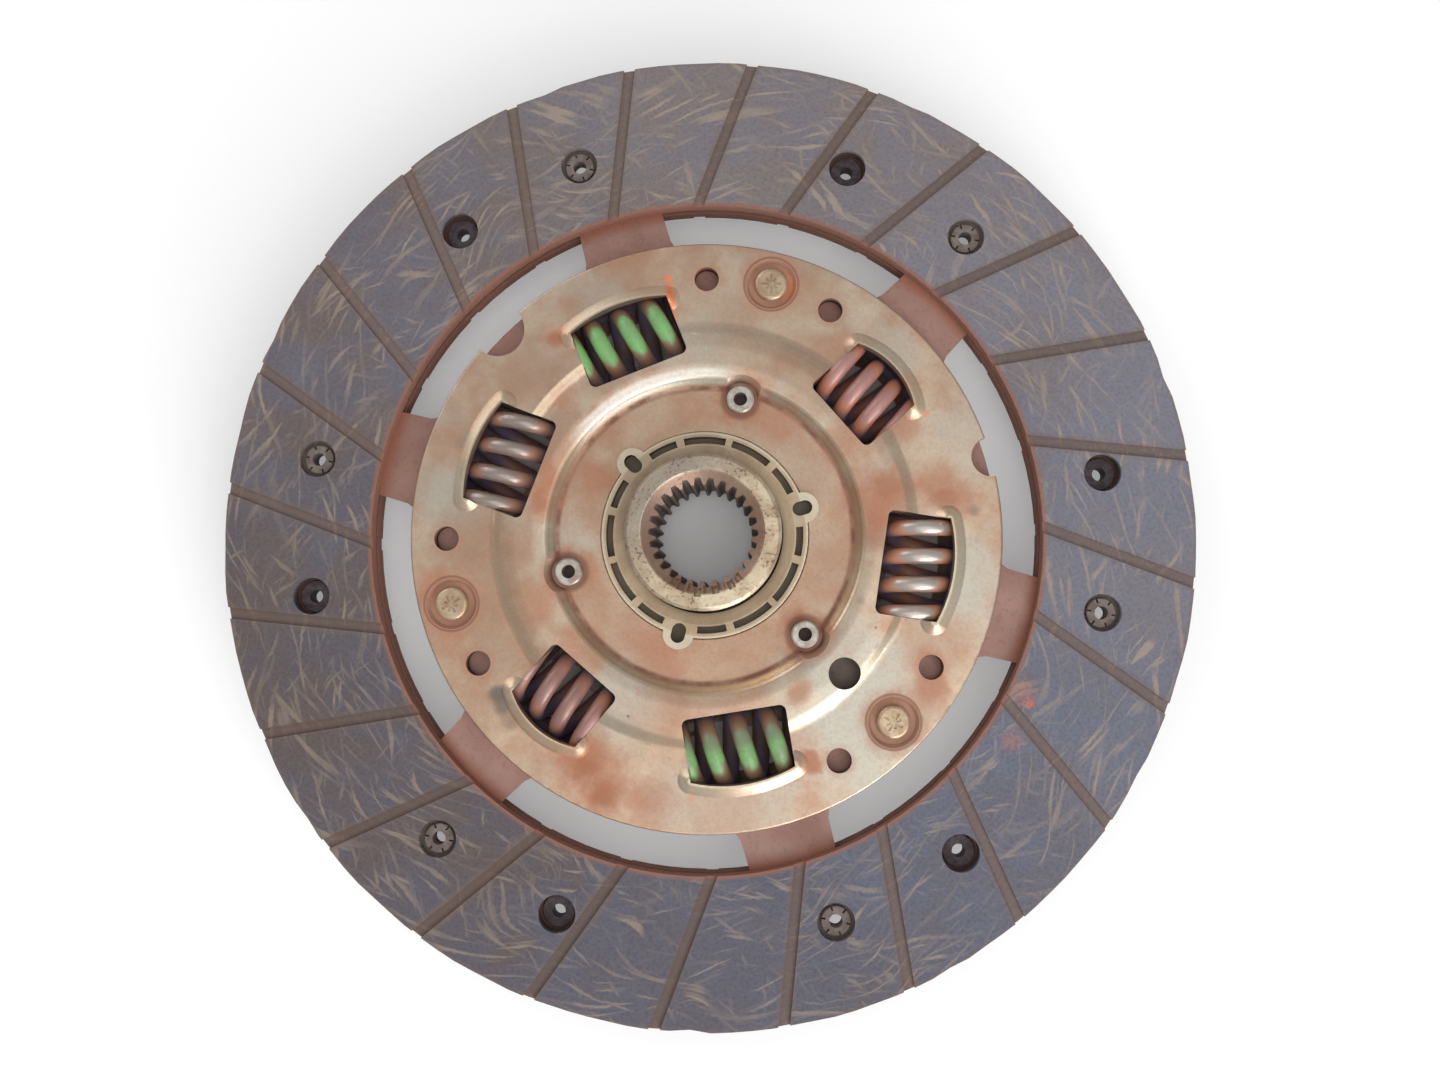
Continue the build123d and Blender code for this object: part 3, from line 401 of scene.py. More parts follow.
plate = {
    "sand": tint(196, 168, 144),
    "grey": tint(190, 186, 172),
    "pink": tint(178, 144, 120),
    "bloom": tint(180, 126, 100),
    "rust": tint(160, 106, 80),
    "shade": tint(124, 86, 72),
    "ring": tint(170, 128, 108),
    "pale": tint(216, 200, 176),
    # a painted highlight on the dish's edge
    "highlight": tint(226, 222, 212),
    "soot": tint(98, 98, 98),
    "paint": tint(232, 128, 84),
    # a pale tone painted on the lips and the polished walls as a painted highlight
    "lip": tint(208, 194, 166),
    # dark and inside paint shade on faces deep in the plates; dark is partly rust on the cut edges
    "dark": tint(78, 56, 48),
    "inside": tint(142, 124, 132),
    "grazing": tint(128, 118, 108),  # keeps the sheen down in low views
    "rim": 19.9,
    "dishWall": (33.6, 35.9),
    "rimWall": (46.0, 48.2),
    # the rear plate's mid height in its bowl, its raised ring and its rim, and the bowl's wall
    "rearMiddle": (3.0, 5.3, 6.6),
    "bowlWall": (35.0, 38.0),
    "edgeRound": 3.4,
    "edgeDrop": 0.5,
    "wornArc": (126, 31),  # middle and half width of the painted highlight on the dish's edge
    # marks as x, y, size, softness and strength, for each colour
    "marks": {
        "pale": [
            (-11.8, 41.0, 11.0, 0.7, 0.6), (-20.9, 21.6, 6.0, 0.7, 0.35), (44.0, 34.0, 7.0, 0.7, 0.35),
            (46.0, -42.0, 8.0, 0.7, 0.4), (2.0, 54.0, 8.0, 0.7, 0.4),
        ],
        "grey": [
            (41.3, -25.0, 13.0, 0.7, 0.95), (56.0, 4.0, 11.0, 0.6, 0.9), (46.0, -36.0, 12.0, 0.7, 0.9),
            (22.8, -54.9, 11.0, 0.6, 0.8), (34.0, 22.8, 3.2, 0.5, 0.7), (49.6, 37.3, 6.0, 0.6, 0.5),
            (-57.8, -7.1, 6.5, 0.6, 0.8), (-30.0, -13.0, 7.0, 0.6, 0.7), (-8.7, -42.0, 9.0, 0.6, 0.8),
            (-42.0, 14.0, 4.0, 0.6, 0.6), (-12.0, 42.0, 7.0, 0.6, 0.5), (32.1, 51.6, 5.0, 0.6, 0.5),
            (12.0, -58.0, 8.0, 0.6, 0.6), (-39.0, -38.0, 4.5, 0.6, 0.6), (-36.0, 46.0, 6.0, 0.7, 0.5),
        ],
        "pink": [
            (-48.0, 26.0, 8.0, 0.7, 0.6), (60.0, -10.0, 6.0, 0.7, 0.5), (-45.0, -20.0, 8.0, 0.7, 0.7),
            (8.0, 60.0, 8.0, 0.7, 0.5), (-5.0, 48.0, 7.0, 0.7, 0.4), (30.0, -42.0, 5.0, 0.7, 0.5),
            (-36.0, 10.0, 9.0, 0.7, 0.8), (-52.0, -14.0, 8.0, 0.7, 0.6), (16.0, 40.0, 7.0, 0.8, 0.5),
            (-38.6, -34.8, 9.0, 0.7, 0.7), (21.0, -60.0, 9.0, 0.7, 0.6), (0.0, -44.0, 8.0, 0.7, 0.4),
        ],
        "bloom": [
            (36.0, 17.0, 7.6, 0.7, 0.85), (25.0, 29.0, 5.5, 0.6, 0.6), (35.7, 41.9, 4.0, 0.6, 0.6),
            (38.2, 58.0, 3.6, 0.6, 0.7), (18.7, 50.3, 2.6, 0.6, 0.4), (-27.6, 19.2, 4.4, 0.7, 0.5),
            (-27.0, 5.9, 4.0, 0.6, 0.6), (-36.8, -1.6, 4.0, 0.6, 0.8), (-38.0, 3.5, 3.0, 0.6, 0.7),
            (-44.0, 35.2, 3.2, 0.7, 0.6), (-31.9, -23.7, 4.6, 0.7, 0.5), (-57.6, -27.0, 3.6, 0.7, 0.6),
            (-49.2, -37.6, 3.4, 0.7, 0.5), (-13.2, -55.6, 6.4, 0.7, 0.9), (-6.5, -61.0, 5.0, 0.7, 0.8),
            (4.0, -60.1, 4.4, 0.8, 0.5), (-20.9, -30.0, 4.0, 0.7, 0.5), (-1.8, -29.0, 6.0, 0.7, 0.6),
            (9.9, 29.3, 4.4, 0.7, 0.5), (-10.7, 27.5, 4.4, 0.7, 0.4), (29.8, -28.6, 2.8, 0.6, 0.7),
            (57.6, -20.4, 3.8, 0.6, 0.7), (54.5, -14.9, 3.4, 0.7, 0.5), (35.8, -42.9, 2.6, 0.5, 0.9),
            (53.4, 22.0, 4.4, 0.7, 0.5), (47.8, 24.7, 4.2, 0.7, 0.6), (60.9, 30.6, 2.4, 0.6, 0.5),
            (37.5, 34.5, 3.4, 0.6, 0.5), (-38.5, 22.5, 3.4, 0.6, 0.5), (-4.0, 60.5, 3.0, 0.6, 0.5),
        ],
        "rust": [
            (50.2, 21.2, 2.4, 0.7, 0.35), (36.4, 10.0, 4.0, 0.7, 0.35), (36.2, 20.0, 3.0, 0.7, 0.4),
            (-12.4, -57.6, 3.0, 0.7, 0.6), (-6.8, -62.4, 2.4, 0.7, 0.6), (-44.6, 34.6, 1.7, 0.6, 0.6),
            (-31.2, 20.6, 1.6, 0.7, 0.5), (34.6, 43.6, 1.6, 0.6, 0.4), (-38.4, -2.6, 2.0, 0.6, 0.4),
        ],
        "soot": [
            (-36.0, -46.4, 2.0, 0.6, 0.8), (-34.2, -49.0, 1.8, 0.6, 0.7), (-31.4, -52.0, 1.8, 0.7, 0.4),
            (-58.6, 6.8, 1.8, 0.8, 0.4), (-55.8, 0.4, 1.6, 0.8, 0.35), (-1.8, 34.0, 1.8, 0.7, 0.5),
            (26.8, -21.6, 2.0, 0.7, 0.4), (37.4, -5.4, 1.0, 0.6, 0.3), (57.3, 20.6, 1.2, 0.7, 0.4),
            (42.3, -10.4, 0.3, 0.5, 0.6), (-6.0, -43.6, 0.35, 0.5, 0.7),
        ],
    },
    # specks of orange paint on top of all else
    "paintMarks": [
        (-23.2, 54.6, 0.8, 0.5, 0.8), (-22.4, 52.8, 0.9, 0.5, 0.9), (-21.6, 51.0, 0.9, 0.5, 0.9),
        (-20.8, 49.2, 0.9, 0.5, 0.9), (-20.0, 47.6, 0.8, 0.5, 0.8), (-19.3, 46.3, 0.7, 0.5, 0.7),
        (-43.4, 37.0, 0.9, 0.7, 0.3), (3.6, 61.4, 1.2, 0.7, 0.35), (4.6, 59.6, 1.2, 0.7, 0.4),
        (4.2, 57.6, 1.0, 0.7, 0.35), (41.4, 39.4, 0.8, 0.7, 0.4), (12.4, -57.4, 0.7, 0.7, 0.3),
    ],
}


def stain(tree, vector, shake, x, y, size, soft, strength):
    values = {"Shake": shake, "X": x, "Y": y, "Size": size, "Soft": soft, "Ragged": 1.8}
    return times(tree, place(tree, patch, Vector=vector, **values)["Mask"], strength)


def makePlate(name, rear=False):
    material, tree, shader, vector = startFinish(name)
    shader.inputs["Specular Tint"].default_value = plate["grazing"]
    spot = place(tree, diskPlace, Vector=vector)
    radius, height = spot["Radius"], spot["Height"]
    clouds = place(tree, blotches, Vector=vector, Size=34.0, Edge=0.16, Detail=2.0, Seed=1.0)["Mask"]
    wash = place(tree, blotches, Vector=vector, Size=13.0, Level=0.54, Edge=0.14, Detail=3.0, Seed=5.0)["Mask"]
    shake = place(tree, blotches, Vector=vector, Size=5.0, Seed=7.0)["Value"]
    fine = place(tree, blotches, Vector=vector, Size=0.7, Level=0.62, Edge=0.08, Detail=3.0, Seed=9.0)
    mottle = place(tree, blotches, Vector=vector, Size=8.0, Level=0.54, Edge=0.16, Detail=4.0, Seed=13.0)["Mask"]
    glow = place(tree, blotches, Vector=vector, Size=11.0, Level=0.52, Edge=0.14, Detail=3.0, Seed=17.0)["Mask"]
    colour = mixColour(tree, times(tree, clouds, 0.6), plate["sand"], plate["grey"])
    colour = mixColour(tree, times(tree, glow, 0.6), colour, plate["pale"])
    colour = mixColour(tree, times(tree, wash, 0.6), colour, plate["pink"])
    colour = mixColour(tree, times(tree, mottle, 0.4), colour, plate["bloom"])
    dish = fade(tree, radius, 35.0, 33.4)
    colour = mixColour(tree, times(tree, dish, 0.4), colour, plate["pink"])
    haze = times(tree, dish, 0.45)
    for tone, marks in plate["marks"].items():
        for x, y, size, soft, strength in marks:
            mark = stain(tree, vector, shake, x, y, size, soft, strength)
            colour = mixColour(tree, mark, colour, plate[tone])
            if tone not in ("pale", "grey", "pink"):
                haze = most(tree, haze, mark)

    pins = place(tree, nearSpots, Vector=vector, Circle=59.4, Start=90.0, Count=3.0)["Distance"]
    holes = place(tree, nearSpots, Vector=vector, Circle=58.7, Start=90.0, Count=3.0, Side=14.4)["Distance"]
    eyelets = place(tree, nearSpots, Vector=vector, Circle=31.8, Start=90.0, Count=3.0)["Distance"]
    pinRing = fade(tree, pins, 6.4, 6.0)
    pinLine = fade(tree, calc(tree, "ABSOLUTE", calc(tree, "SUBTRACT", pins, 6.2)), 0.4, 0.1)
    pocket = fade(tree, eyelets, 7.0, 5.6)
    stained = most(
        tree,
        times(tree, fade(tree, pins, 9.5, 5.6), 0.6),
        times(tree, fade(tree, holes, 4.6, 2.9), 0.4),
        times(tree, fade(tree, eyelets, 8.0, 5.0), 0.7),
    )
    stained = times(tree, stained, fade(tree, shake, 0.38, 0.6, 0.5, 1.0))
    colour = mixColour(tree, stained, colour, plate["bloom"])
    colour = mixColour(tree, times(tree, pinRing, 0.8), colour, plate["ring"])
    colour = mixColour(tree, times(tree, pinLine, 0.6), colour, plate["shade"])
    colour = mixColour(tree, fade(tree, eyelets, 5.2, 3.9, 0.0, 0.75), colour, plate["shade"])

    # the foot of the dish's wall is darker; its upper half is polished, and so is the step to the rim, with a painted
    # highlight tone on both
    dishMiddle = sum(plate["dishWall"]) / 2
    foot = fade(tree, calc(tree, "ABSOLUTE", calc(tree, "SUBTRACT", radius, plate["dishWall"][0])), 1.1, 0.2)
    foot = times(tree, foot, fade(tree, shake, 0.4, 0.6, 0.5, 0.95))
    wallGap = calc(tree, "ABSOLUTE", calc(tree, "SUBTRACT", radius, dishMiddle + 0.4))
    stepGap = calc(tree, "ABSOLUTE", calc(tree, "SUBTRACT", radius, sum(plate["rimWall"]) / 2))
    polishedAndHighlit = without(tree, most(tree, fade(tree, wallGap, 1.5, 0.8), fade(tree, stepGap, 1.6, 0.9)), pocket)
    # painted highlight: the lips get a pale tone, and they are smoother
    lip = times(tree, fade(tree, height, plate["rim"] + 0.1, plate["rim"] + 0.7), fade(tree, radius, 48.6, 49.4))
    colour = mixColour(tree, foot, colour, plate["shade"])
    colour = mixColour(tree, times(tree, polishedAndHighlit, 0.25), colour, plate["lip"])
    colour = mixColour(tree, times(tree, lip, 0.45), colour, plate["lip"])
    # a painted highlight: a white arc along the dish's edge, which is also smoother
    turned = calc(tree, "ABSOLUTE", calc(tree, "SUBTRACT", spot["Angle"], math.radians(plate["wornArc"][0])))
    worn = fade(tree, turned, math.radians(plate["wornArc"][1] + 8), math.radians(plate["wornArc"][1] - 10))
    worn = times(tree, worn, fade(tree, calc(tree, "ABSOLUTE", calc(tree, "SUBTRACT", radius, 36.2)), 2.2, 1.0))
    colour = mixColour(tree, times(tree, worn, 0.75), colour, plate["highlight"])
    polishedAndHighlit = most(tree, polishedAndHighlit, times(tree, lip, 0.6), worn)
    colour = mixColour(tree, fade(tree, fine["Value"], 0.35, 0.68, 0.0, 0.16), colour, plate["rust"])
    for mark in plate["paintMarks"]:
        paint = stain(tree, vector, shake, *mark)
        colour = mixColour(tree, paint, colour, plate["paint"])
        haze = most(tree, haze, paint)

    # painted shade: on the rear plate the upper, inner face gets a dull shade tone; on the front plate the faces well
    # below the face, the window walls most, are dark, partly rust on the cut edges and partly painted shade
    if rear:
        bowl, ring, edge = plate["rearMiddle"]
        middle = fade(tree, radius, *plate["bowlWall"], bowl, ring)
        middle = calc(tree, "ADD", middle, fade(tree, radius, *plate["rimWall"], 0.0, edge - ring))
        deepShade = fade(tree, calc(tree, "SUBTRACT", height, middle), -0.6, 0.6)
    else:
        deepShade = fade(tree, height, plate["rim"] - 0.8, plate["rim"] - 2.2)
        deepShade = times(tree, deepShade, fade(tree, radius, 66.6, 66.2))
    colour = mixColour(tree, deepShade, colour, plate["inside" if rear else "dark"])
    haze = without(tree, most(tree, haze, stained, pinRing), times(tree, polishedAndHighlit, 0.8))
    dull = most(tree, haze, deepShade, times(tree, foot, 0.7))
    gloss = calc(tree, "SUBTRACT", fade(tree, dull, 0.0, 1.0, 0.38, 0.6), times(tree, polishedAndHighlit, 0.1))
    wire(
        tree,
        shader,
        Colour=colour,
        Metallic=fade(tree, dull, 0.1, 1.0, 0.78, 0.3),
        Roughness=calc(tree, "ADD", gloss, times(tree, fine["Mask"], 0.08)),
    )
    # the raised ring rolls over softly towards the dish and towards the rim
    dishEdge, rimEdge = plate["dishWall"][1], plate["rimWall"][0]
    rolls = calc(
        tree,
        "ADD",
        fade(tree, radius, dishEdge + plate["edgeRound"], dishEdge - 1.0, 0.0, -plate["edgeDrop"]),
        fade(tree, radius, rimEdge - plate["edgeRound"], rimEdge + 1.0, 0.0, -plate["edgeDrop"]),
    )
    bump(tree, shader, calc(tree, "MULTIPLY_ADD", fine["Value"], 0.016, rolls), 1.0, 1.0)
    return material


# hub, pins, rivets, eyelets and bush

hub = {
    "steel": tint(182, 160, 134),
    "bright": tint(212, 196, 168),
    "rust": tint(148, 114, 98),
    "spot": tint(112, 92, 82),
    # dark is painted shade deep in the hub
    "dark": tint(116, 102, 98),
    "grey": tint(156, 146, 134),
    "bore": 13.7,
}


def makeHub():
    material, tree, shader, vector = startFinish("hub_steel")
    spot = place(tree, diskPlace, Vector=vector)
    radius = spot["Radius"]
    fine = place(tree, blotches, Vector=vector, Size=0.8, Level=0.59, Edge=0.06, Detail=3.0, Seed=2.0)
    clouds = place(tree, blotches, Vector=vector, Size=6.0, Edge=0.14, Detail=3.0, Seed=6.0)
    colour = mixColour(tree, clouds["Mask"], hub["steel"], hub["bright"])
    across = put(tree, "ShaderNodeSeparateXYZ", {0: vector}).outputs
    left = calc(tree, "SUBTRACT", times(tree, across[1], 0.5), times(tree, across[0], 0.86))
    colour = mixColour(tree, fade(tree, left, 0.0, 14.0, 0.0, 0.8), colour, hub["grey"])
    marked = times(tree, fine["Mask"], fade(tree, clouds["Value"], 0.4, 0.6, 0.9, 0.25))
    colour = mixColour(tree, marked, colour, hub["spot"])
    bore = fade(tree, radius, hub["bore"] + 0.1, hub["bore"] - 0.6)
    colour = mixColour(tree, times(tree, bore, 0.75), colour, hub["rust"])
    # painted shade: the spline bore and the hub's sides darken more than 3 mm below its top
    deepShade = fade(tree, spot["Height"], topOf("hub") - 3.0, topOf("hub") - 8.0)
    colour = mixColour(tree, times(tree, deepShade, 0.85), colour, hub["dark"])
    dull = most(tree, marked, times(tree, bore, 0.5), deepShade)
    wire(
        tree,
        shader,
        Colour=colour,
        Metallic=fade(tree, dull, 0.0, 1.0, 0.8, 0.35),
        Roughness=fade(tree, dull, 0.0, 1.0, 0.34, 0.62),
    )
    bump(tree, shader, fine["Value"], 0.1, 0.5)
    return material


# plainer finishes as light tone, dark tone, cloud size, roughness, metallic and seed
dullFinishes = {
    "front_rivet": (tint(124, 112, 106), tint(102, 88, 84), 2.4, 0.7, 0.1, 1.0),
    "rear_rivet": (tint(88, 76, 80), tint(64, 54, 58), 1.6, 0.7, 0.1, 5.0),
    "pin_steel": (tint(194, 174, 146), tint(174, 146, 118), 3.0, 0.38, 0.6, 2.0),
    "eyelet_steel": (tint(196, 192, 184), tint(162, 146, 132), 3.0, 0.4, 0.55, 3.0),
}


def makeDull(name):
    light, dark, size, roughness, metallic, seed = dullFinishes[name]
    material, tree, shader, vector = startFinish(name, roughness, metallic)
    clouds = place(tree, blotches, Vector=vector, Size=size, Edge=0.14, Detail=3.0, Seed=seed)
    fine = place(tree, blotches, Vector=vector, Size=size / 4, Level=0.58, Edge=0.1, Seed=seed + 1)
    colour = mixColour(tree, clouds["Mask"], light, dark)
    colour = mixColour(tree, times(tree, fine["Mask"], 0.3), colour, dark)
    wire(tree, shader, Colour=colour, Roughness=fade(tree, fine["Value"], 0.3, 0.7, roughness - 0.1, roughness + 0.12))
    bump(tree, shader, fine["Value"], 0.04, 0.5)
    return material


bush = {
    "top": tint(188, 168, 140),
    "stain": tint(164, 140, 112),
    # painted shade in the slots and on faces below the top, also used for fine specks
    "slotShadeAndSpecks": tint(116, 104, 82),
    # a painted highlight along the collar's outer rim
    "edge": tint(212, 204, 182),
}


def makeBush():
    material, tree, shader, vector = startFinish("bush_plastic", 0.5)
    spot = place(tree, diskPlace, Vector=vector)
    clouds = place(tree, blotches, Vector=vector, Size=7.0, Edge=0.16, Detail=3.0, Seed=4.0)
    fine = place(tree, blotches, Vector=vector, Size=0.7, Level=0.6, Edge=0.1, Seed=5.0)
    top = topOf("front_bush")
    colour = mixColour(tree, times(tree, clouds["Mask"], 0.7), bush["top"], bush["stain"])
    # painted highlight on the collar's outer rim, near its top
    rim = times(tree, fade(tree, spot["Radius"], 22.6, 23.1), fade(tree, spot["Height"], top - 0.9, top - 0.2))
    colour = mixColour(tree, times(tree, rim, 0.6), colour, bush["edge"])
    # painted shade on every face below the top: the slots, the lugs and the sides
    colour = mixColour(tree, fade(tree, spot["Height"], top - 0.35, top - 1.1, 0.0, 0.9), colour, bush["slotShadeAndSpecks"])
    colour = mixColour(tree, times(tree, fine["Mask"], 0.2), colour, bush["slotShadeAndSpecks"])
    wire(tree, shader, Colour=colour, Roughness=fade(tree, clouds["Value"], 0.35, 0.65, 0.42, 0.6))
    bump(tree, shader, fine["Value"], 0.04, 0.4)
    return material


# painted and bare coils: paint on the crowns of both sides, rust and painted shade down the flanks, painted shade
# between them and on the springs to the left

coilPaint = {
    "green_coil": {
        "crown": tint(118, 178, 106),
        "worn": tint(124, 134, 108),
        "flankRustAndShade": tint(136, 106, 84),
        "metallic": 0.0,
        "gloss": 0.32,
    },
    "grey_coil": {
        "crown": tint(184, 176, 168),
        "worn": tint(164, 148, 140),
        "flankRustAndShade": tint(200, 144, 118),
        "metallic": 0.6,
        "gloss": 0.3,
    },
    "pink_coil": {
        "crown": tint(170, 128, 122),
        "worn": tint(160, 112, 102),
        "flankRustAndShade": tint(182, 120, 96),
        "metallic": 0.2,
        "gloss": 0.34,
    },
    # painted shade tones: between the coils, and on the springs to the left
    "gap": tint(134, 120, 142),
    "shade": tint(126, 104, 98),
}


def makeCoil(name):
    settings = coilPaint[name]
    material, tree, shader, vector = startFinish(name)
    spot = place(tree, diskPlace, Vector=vector)
    clouds = place(tree, blotches, Vector=vector, Size=4.0, Edge=0.12, Seed=3.0)
    fine = place(tree, blotches, Vector=vector, Size=0.8, Level=0.6, Edge=0.08, Detail=3.0, Seed=7.0)
    shake = times(tree, calc(tree, "SUBTRACT", clouds["Value"], 0.5), 2.2)
    fromAxis = calc(tree, "ABSOLUTE", calc(tree, "SUBTRACT", spot["Height"], coils["axisHeight"]))
    below = calc(tree, "ADD", calc(tree, "SUBTRACT", coils["radius"], fromAxis), shake)
    across = put(tree, "ShaderNodeSeparateXYZ", {0: vector}).outputs
    # the paint is duller near the front of the disc, most of all towards its middle
    faded = fade(tree, across[1], -20.0, -40.0, 0.35, 0.7)
    inside = times(tree, fade(tree, across[1], -20.0, -40.0), fade(tree, spot["Radius"], 50.5, 46.5, 0.0, 0.9))
    faded = most(tree, times(tree, most(tree, clouds["Mask"], 0.3), faded), inside)
    colour = mixColour(tree, faded, settings["crown"], settings["worn"])
    leftSide = times(tree, fade(tree, across[0], -8.0, -20.0), fade(tree, across[1], 30.0, 20.0, 0.0, 0.5))
    # rust and painted shade down the flanks
    flankRustAndShade = fade(tree, below, 0.9, 2.0)
    colour = mixColour(tree, flankRustAndShade, colour, settings["flankRustAndShade"])
    colour = mixColour(tree, times(tree, fine["Mask"], 0.35), colour, settings["flankRustAndShade"])
    colour = mixColour(tree, leftSide, colour, coilPaint["shade"])
    # painted shade between the coils
    colour = mixColour(tree, fade(tree, below, 3.0, 5.6, 0.0, 0.94), colour, coilPaint["gap"])
    dull = most(tree, flankRustAndShade, times(tree, fine["Mask"], 0.7))
    wire(
        tree,
        shader,
        Colour=colour,
        Metallic=times(tree, fade(tree, dull, 0.0, 1.0, 1.0, 0.4), settings["metallic"]),
        Roughness=fade(tree, dull, 0.0, 1.0, settings["gloss"], 0.55),
    )
    bump(tree, shader, fine["Value"], 0.04, 0.4)
    return material


finishes = {
    "front_facing": makeLining("front_lining", topOf("front_facing"), 0.0),
    "rear_facing": makeLining("rear_lining", bottomOf("rear_facing"), 11.0),
    "cushion_disc": makeSpringSteel(),
    "front_retainer_plate": makePlate("plated_steel"),
    "rear_retainer_plate": makePlate("rear_plated_steel", rear=True),
    "hub": makeHub(),
    "front_facing_rivets": makeDull("front_rivet"),
    "rear_facing_rivets": makeDull("rear_rivet"),
    "stop_pins": makeDull("pin_steel"),
    "eyelets": makeDull("eyelet_steel"),
    "front_bush": makeBush(),
}
finishes["pressure_ring"] = finishes["cushion_disc"]
finishes["disc_spring"] = finishes["cushion_disc"]
finishes["rear_bush"] = finishes["front_bush"]

for name, material in finishes.items():
    nodes[name].data.materials.clear()
    nodes[name].data.materials.append(material)
print("finishes on", len(finishes), "nodes")


# coil springs, wound from a circle of wire, their end coils drawn in and ground flat

coils = {
    "circle": 48.8,
    "radius": 9.25,
    "axisHeight": 12.0,
    "endClearance": 0.08,
    "twist": 8.0,
    "sides": 20,
    "steps": 48,
    # piece: node, angle, half length, wire, pitch, first coil, how far each end coil is drawn in, and paint
    "pieces": {
        "green_spring_upper": ("spring_green_1", 126.2, 11.75, 4.1, 7.1, 5.7, (1.1, 0.0), "green_coil"),
        "green_spring_lower": ("spring_green_2", 294.0, 11.75, 4.1, 7.1, 3.1, (0.0, 0.9), "green_coil"),
        "grey_spring_left": ("spring_grey_1", 173.8, 11.75, 3.6, 6.45, 1.4, (0.0, 0.0), "grey_coil"),
        "grey_spring_right": ("spring_grey_2", 6.2, 11.75, 3.6, 6.45, 2.7, (0.0, 0.0), "grey_coil"),
        "pink_spring_right": ("spring_pink_1", 56.2, 9.45, 3.7, 6.1, 1.2, (0.0, 0.0), "pink_coil"),
        "pink_spring_left": ("spring_pink_2", 243.8, 9.45, 3.7, 6.1, 1.2, (0.0, 0.0), "pink_coil"),
    },
}


def deselectAll():
    bpy.ops.object.select_all(action="DESELECT")


def windSpring(name, half, wireWidth, pitch, firstCoil, drawn):
    length = 2 * (half - coils["endClearance"])
    turns = 5 + int(length / pitch)
    start = firstCoil - 2 * pitch
    deselectAll()
    spot = ((coils["radius"] - wireWidth / 2) / 1000, 0, start / 1000)
    bpy.ops.mesh.primitive_circle_add(
        vertices=coils["sides"],
        radius=wireWidth / 2000,
        location=spot,
        rotation=(math.pi / 2, 0, 0),
    )
    piece = bpy.context.object
    piece.name = name
    bpy.ops.object.transform_apply(location=True, rotation=True, scale=True)
    screw = piece.modifiers.new("winding", "SCREW")
    screw.axis = "Z"
    screw.screw_offset = pitch / 1000
    screw.iterations = turns
    screw.steps = coils["steps"]
    screw.render_steps = coils["steps"]
    screw.use_merge_vertices = False
    bpy.ops.object.modifier_apply(modifier=screw.name)
    coilCount = int((length - firstCoil) / pitch)
    lastCoil = firstCoil + coilCount * pitch
    for vertex in piece.data.vertices:
        middle = start + (vertex.index // coils["sides"]) / coils["steps"] * pitch
        before = min(max((firstCoil - middle) / pitch, 0.0), 1.0)
        after = min(max((middle - lastCoil) / pitch, 0.0), 1.0)
        vertex.co.z += (drawn[0] * before - drawn[1] * after) / 1000
    bpy.ops.object.mode_set(mode="EDIT")
    for level, upper in ((0.0, False), (length / 1000, True)):
        bpy.ops.mesh.select_all(action="SELECT")
        cut = {"plane_co": (0, 0, level), "plane_no": (0, 0, 1), "use_fill": True}
        bpy.ops.mesh.bisect(**cut, clear_inner=not upper, clear_outer=upper)
    bpy.ops.mesh.select_all(action="SELECT")
    bpy.ops.mesh.normals_make_consistent(inside=False)
    bpy.ops.object.mode_set(mode="OBJECT")
    bpy.ops.object.shade_smooth_by_angle(angle=math.radians(40))
    return piece


def seatSpring(piece, angle, half):
    top = Vector((0, 0, 1))
    along = Vector((*polar(-1, angle + 90), 0))
    side = along.cross(top)
    end = Vector((*polar(coils["circle"], angle), coils["axisHeight"]))
    end += Vector((*polar(half - coils["endClearance"], angle + 90), 0))
    axes = Matrix((top, side, along)).transposed().to_4x4()
    piece.data.transform(Matrix.Translation(end / 1000) @ axes)


for name, (node, angle, half, wireWidth, pitch, firstCoil, drawn, paint) in coils["pieces"].items():
    piece = windSpring(name, half, wireWidth, pitch, firstCoil, drawn)
    seatSpring(piece, angle, half)
    if paint not in finishes:
        finishes[paint] = makeCoil(paint)
    piece.data.materials.append(finishes[paint])
    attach(piece, "springs")
    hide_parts(node)
    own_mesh(piece)
print("springs wound:", len(coils["pieces"]))


# floor, world and studio lights

studio = {
    "floor": tint(232, 232, 232),
    "floorLift": 0.2,
    "liftFrom": (58.0, 68.0),
    "boreLift": 0.12,
    "farLift": 0.7,  # the floor grows paler before its edge
    "world": 0.5,
    # light: angle round the disc, elevation, distance, size and power
    "lights": {
        "window": (-44, 26, 1.1, 0.8, 7.0),
        "window_sill": (-54, 13, 1.1, 0.4, 2.4),
        "back_window": (150, 26, 1.2, 0.9, 4.0),
        "ceiling": (-42, 68, 1.5, 1.4, 7.0),
    },
}


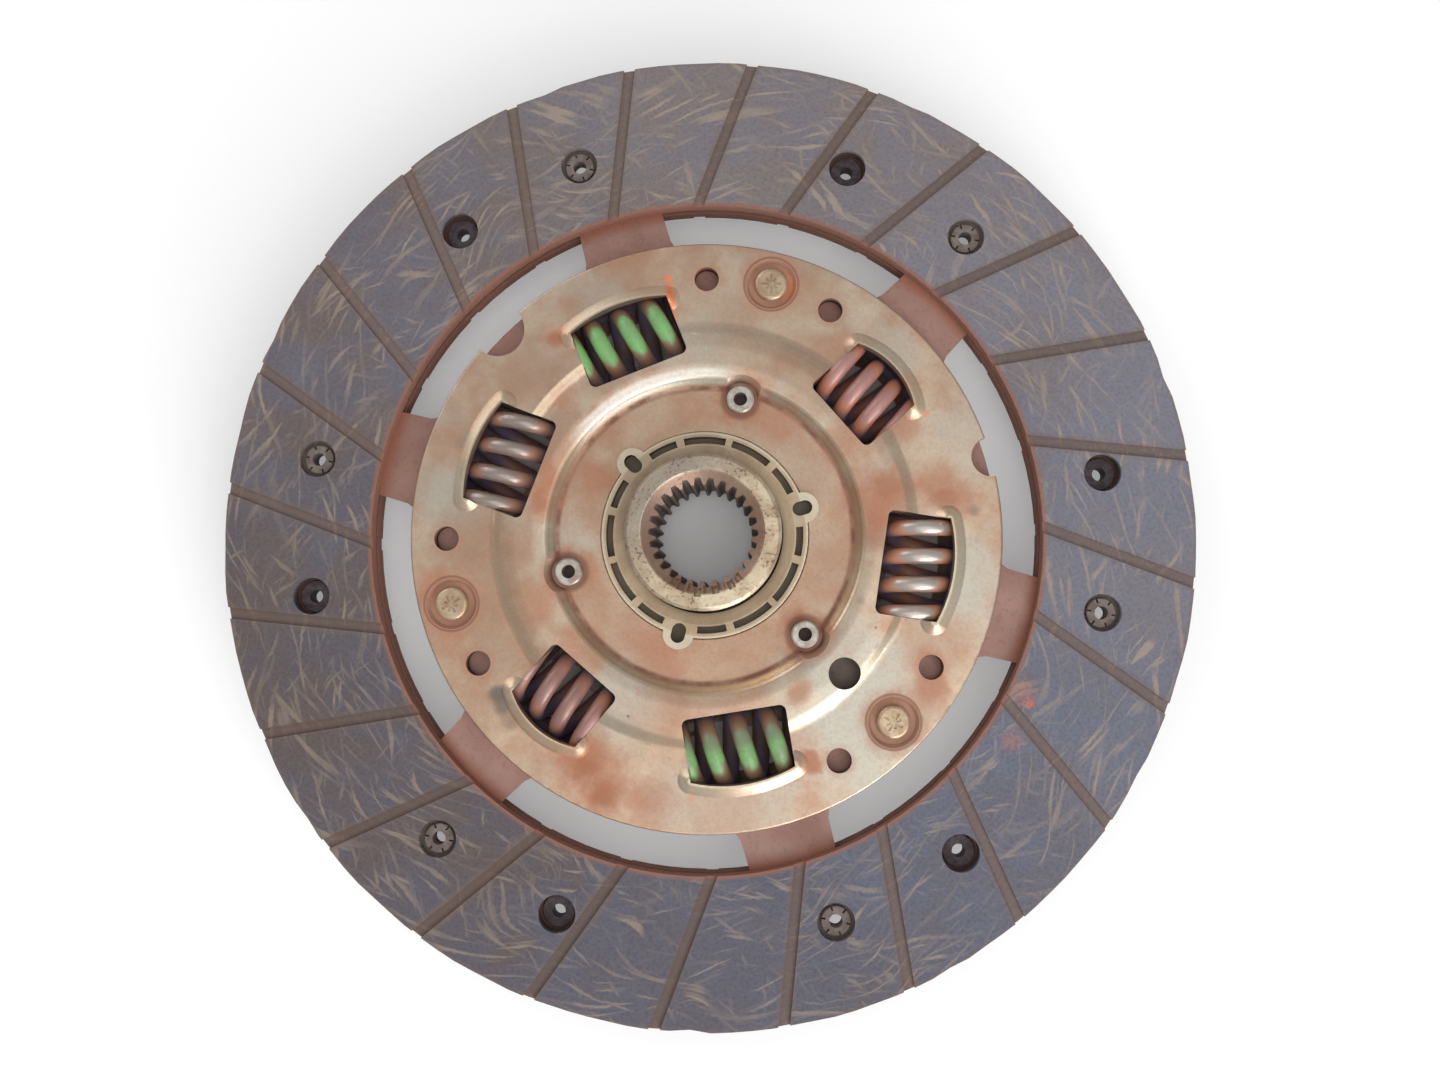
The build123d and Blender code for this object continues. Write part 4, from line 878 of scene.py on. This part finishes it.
def addFloor():
    deselectAll()
    bpy.ops.mesh.primitive_plane_add(size=6.0, location=(0, 0, 0))
    floor = bpy.context.object
    floor.name = "floor"
    material, tree, shader, vector = startFinish("floor_paper", 0.9)
    shader.inputs["Base Color"].default_value = studio["floor"]
    ray = put(tree, "ShaderNodeLightPath").outputs
    seen = most(tree, ray["Is Camera Ray"], ray["Is Glossy Ray"], ray["Is Transmission Ray"])
    radius = place(tree, diskPlace, Vector=vector)["Radius"]
    # the floor seen by the camera glows: little in the shade under the plates and the hub, a little more under the
    # bore and towards its far edge
    cameraGlow = fade(tree, radius, *studio["liftFrom"], 0.0, studio["floorLift"])
    cameraGlow = calc(tree, "ADD", cameraGlow, fade(tree, radius, 16.0, 8.0, 0.0, studio["boreLift"]))
    cameraGlow = calc(tree, "ADD", cameraGlow, fade(tree, radius, 600.0, 2400.0, 0.0, studio["farLift"]))
    shader.inputs["Emission Color"].default_value = (1, 1, 1, 1)
    tree.links.new(times(tree, seen, cameraGlow), shader.inputs["Emission Strength"])
    floor.data.materials.append(material)


def addWorld():
    world = bpy.data.worlds.new("studio")
    bpy.context.scene.world = world
    world.use_nodes = True
    tree = world.node_tree
    back = tree.nodes["Background"]
    back.inputs["Color"].default_value = (1, 1, 1, 1)
    ray = put(tree, "ShaderNodeLightPath").outputs["Is Camera Ray"]
    tree.links.new(fade(tree, ray, 0.0, 1.0, studio["world"], 1.0), back.inputs["Strength"])


def addLights():
    target = Vector((0, 0, topOf("front_facing") / 1000))
    for name, (angle, elevation, distance, size, power) in studio["lights"].items():
        flat = distance * math.cos(math.radians(elevation))
        spot = target + Vector((*polar(flat, angle), distance * math.sin(math.radians(elevation))))
        bpy.ops.object.light_add(type="AREA", location=spot)
        lamp = bpy.context.object
        lamp.name = name
        lamp.data.size = size
        lamp.data.energy = power
        lamp.rotation_euler = (target - spot).to_track_quat("-Z", "Y").to_euler()
        lamp.visible_camera = False


addFloor()
addWorld()
addLights()
bpy.context.scene.view_settings.view_transform = "Standard"
print("studio lit")

bpy.context.view_layer.update()
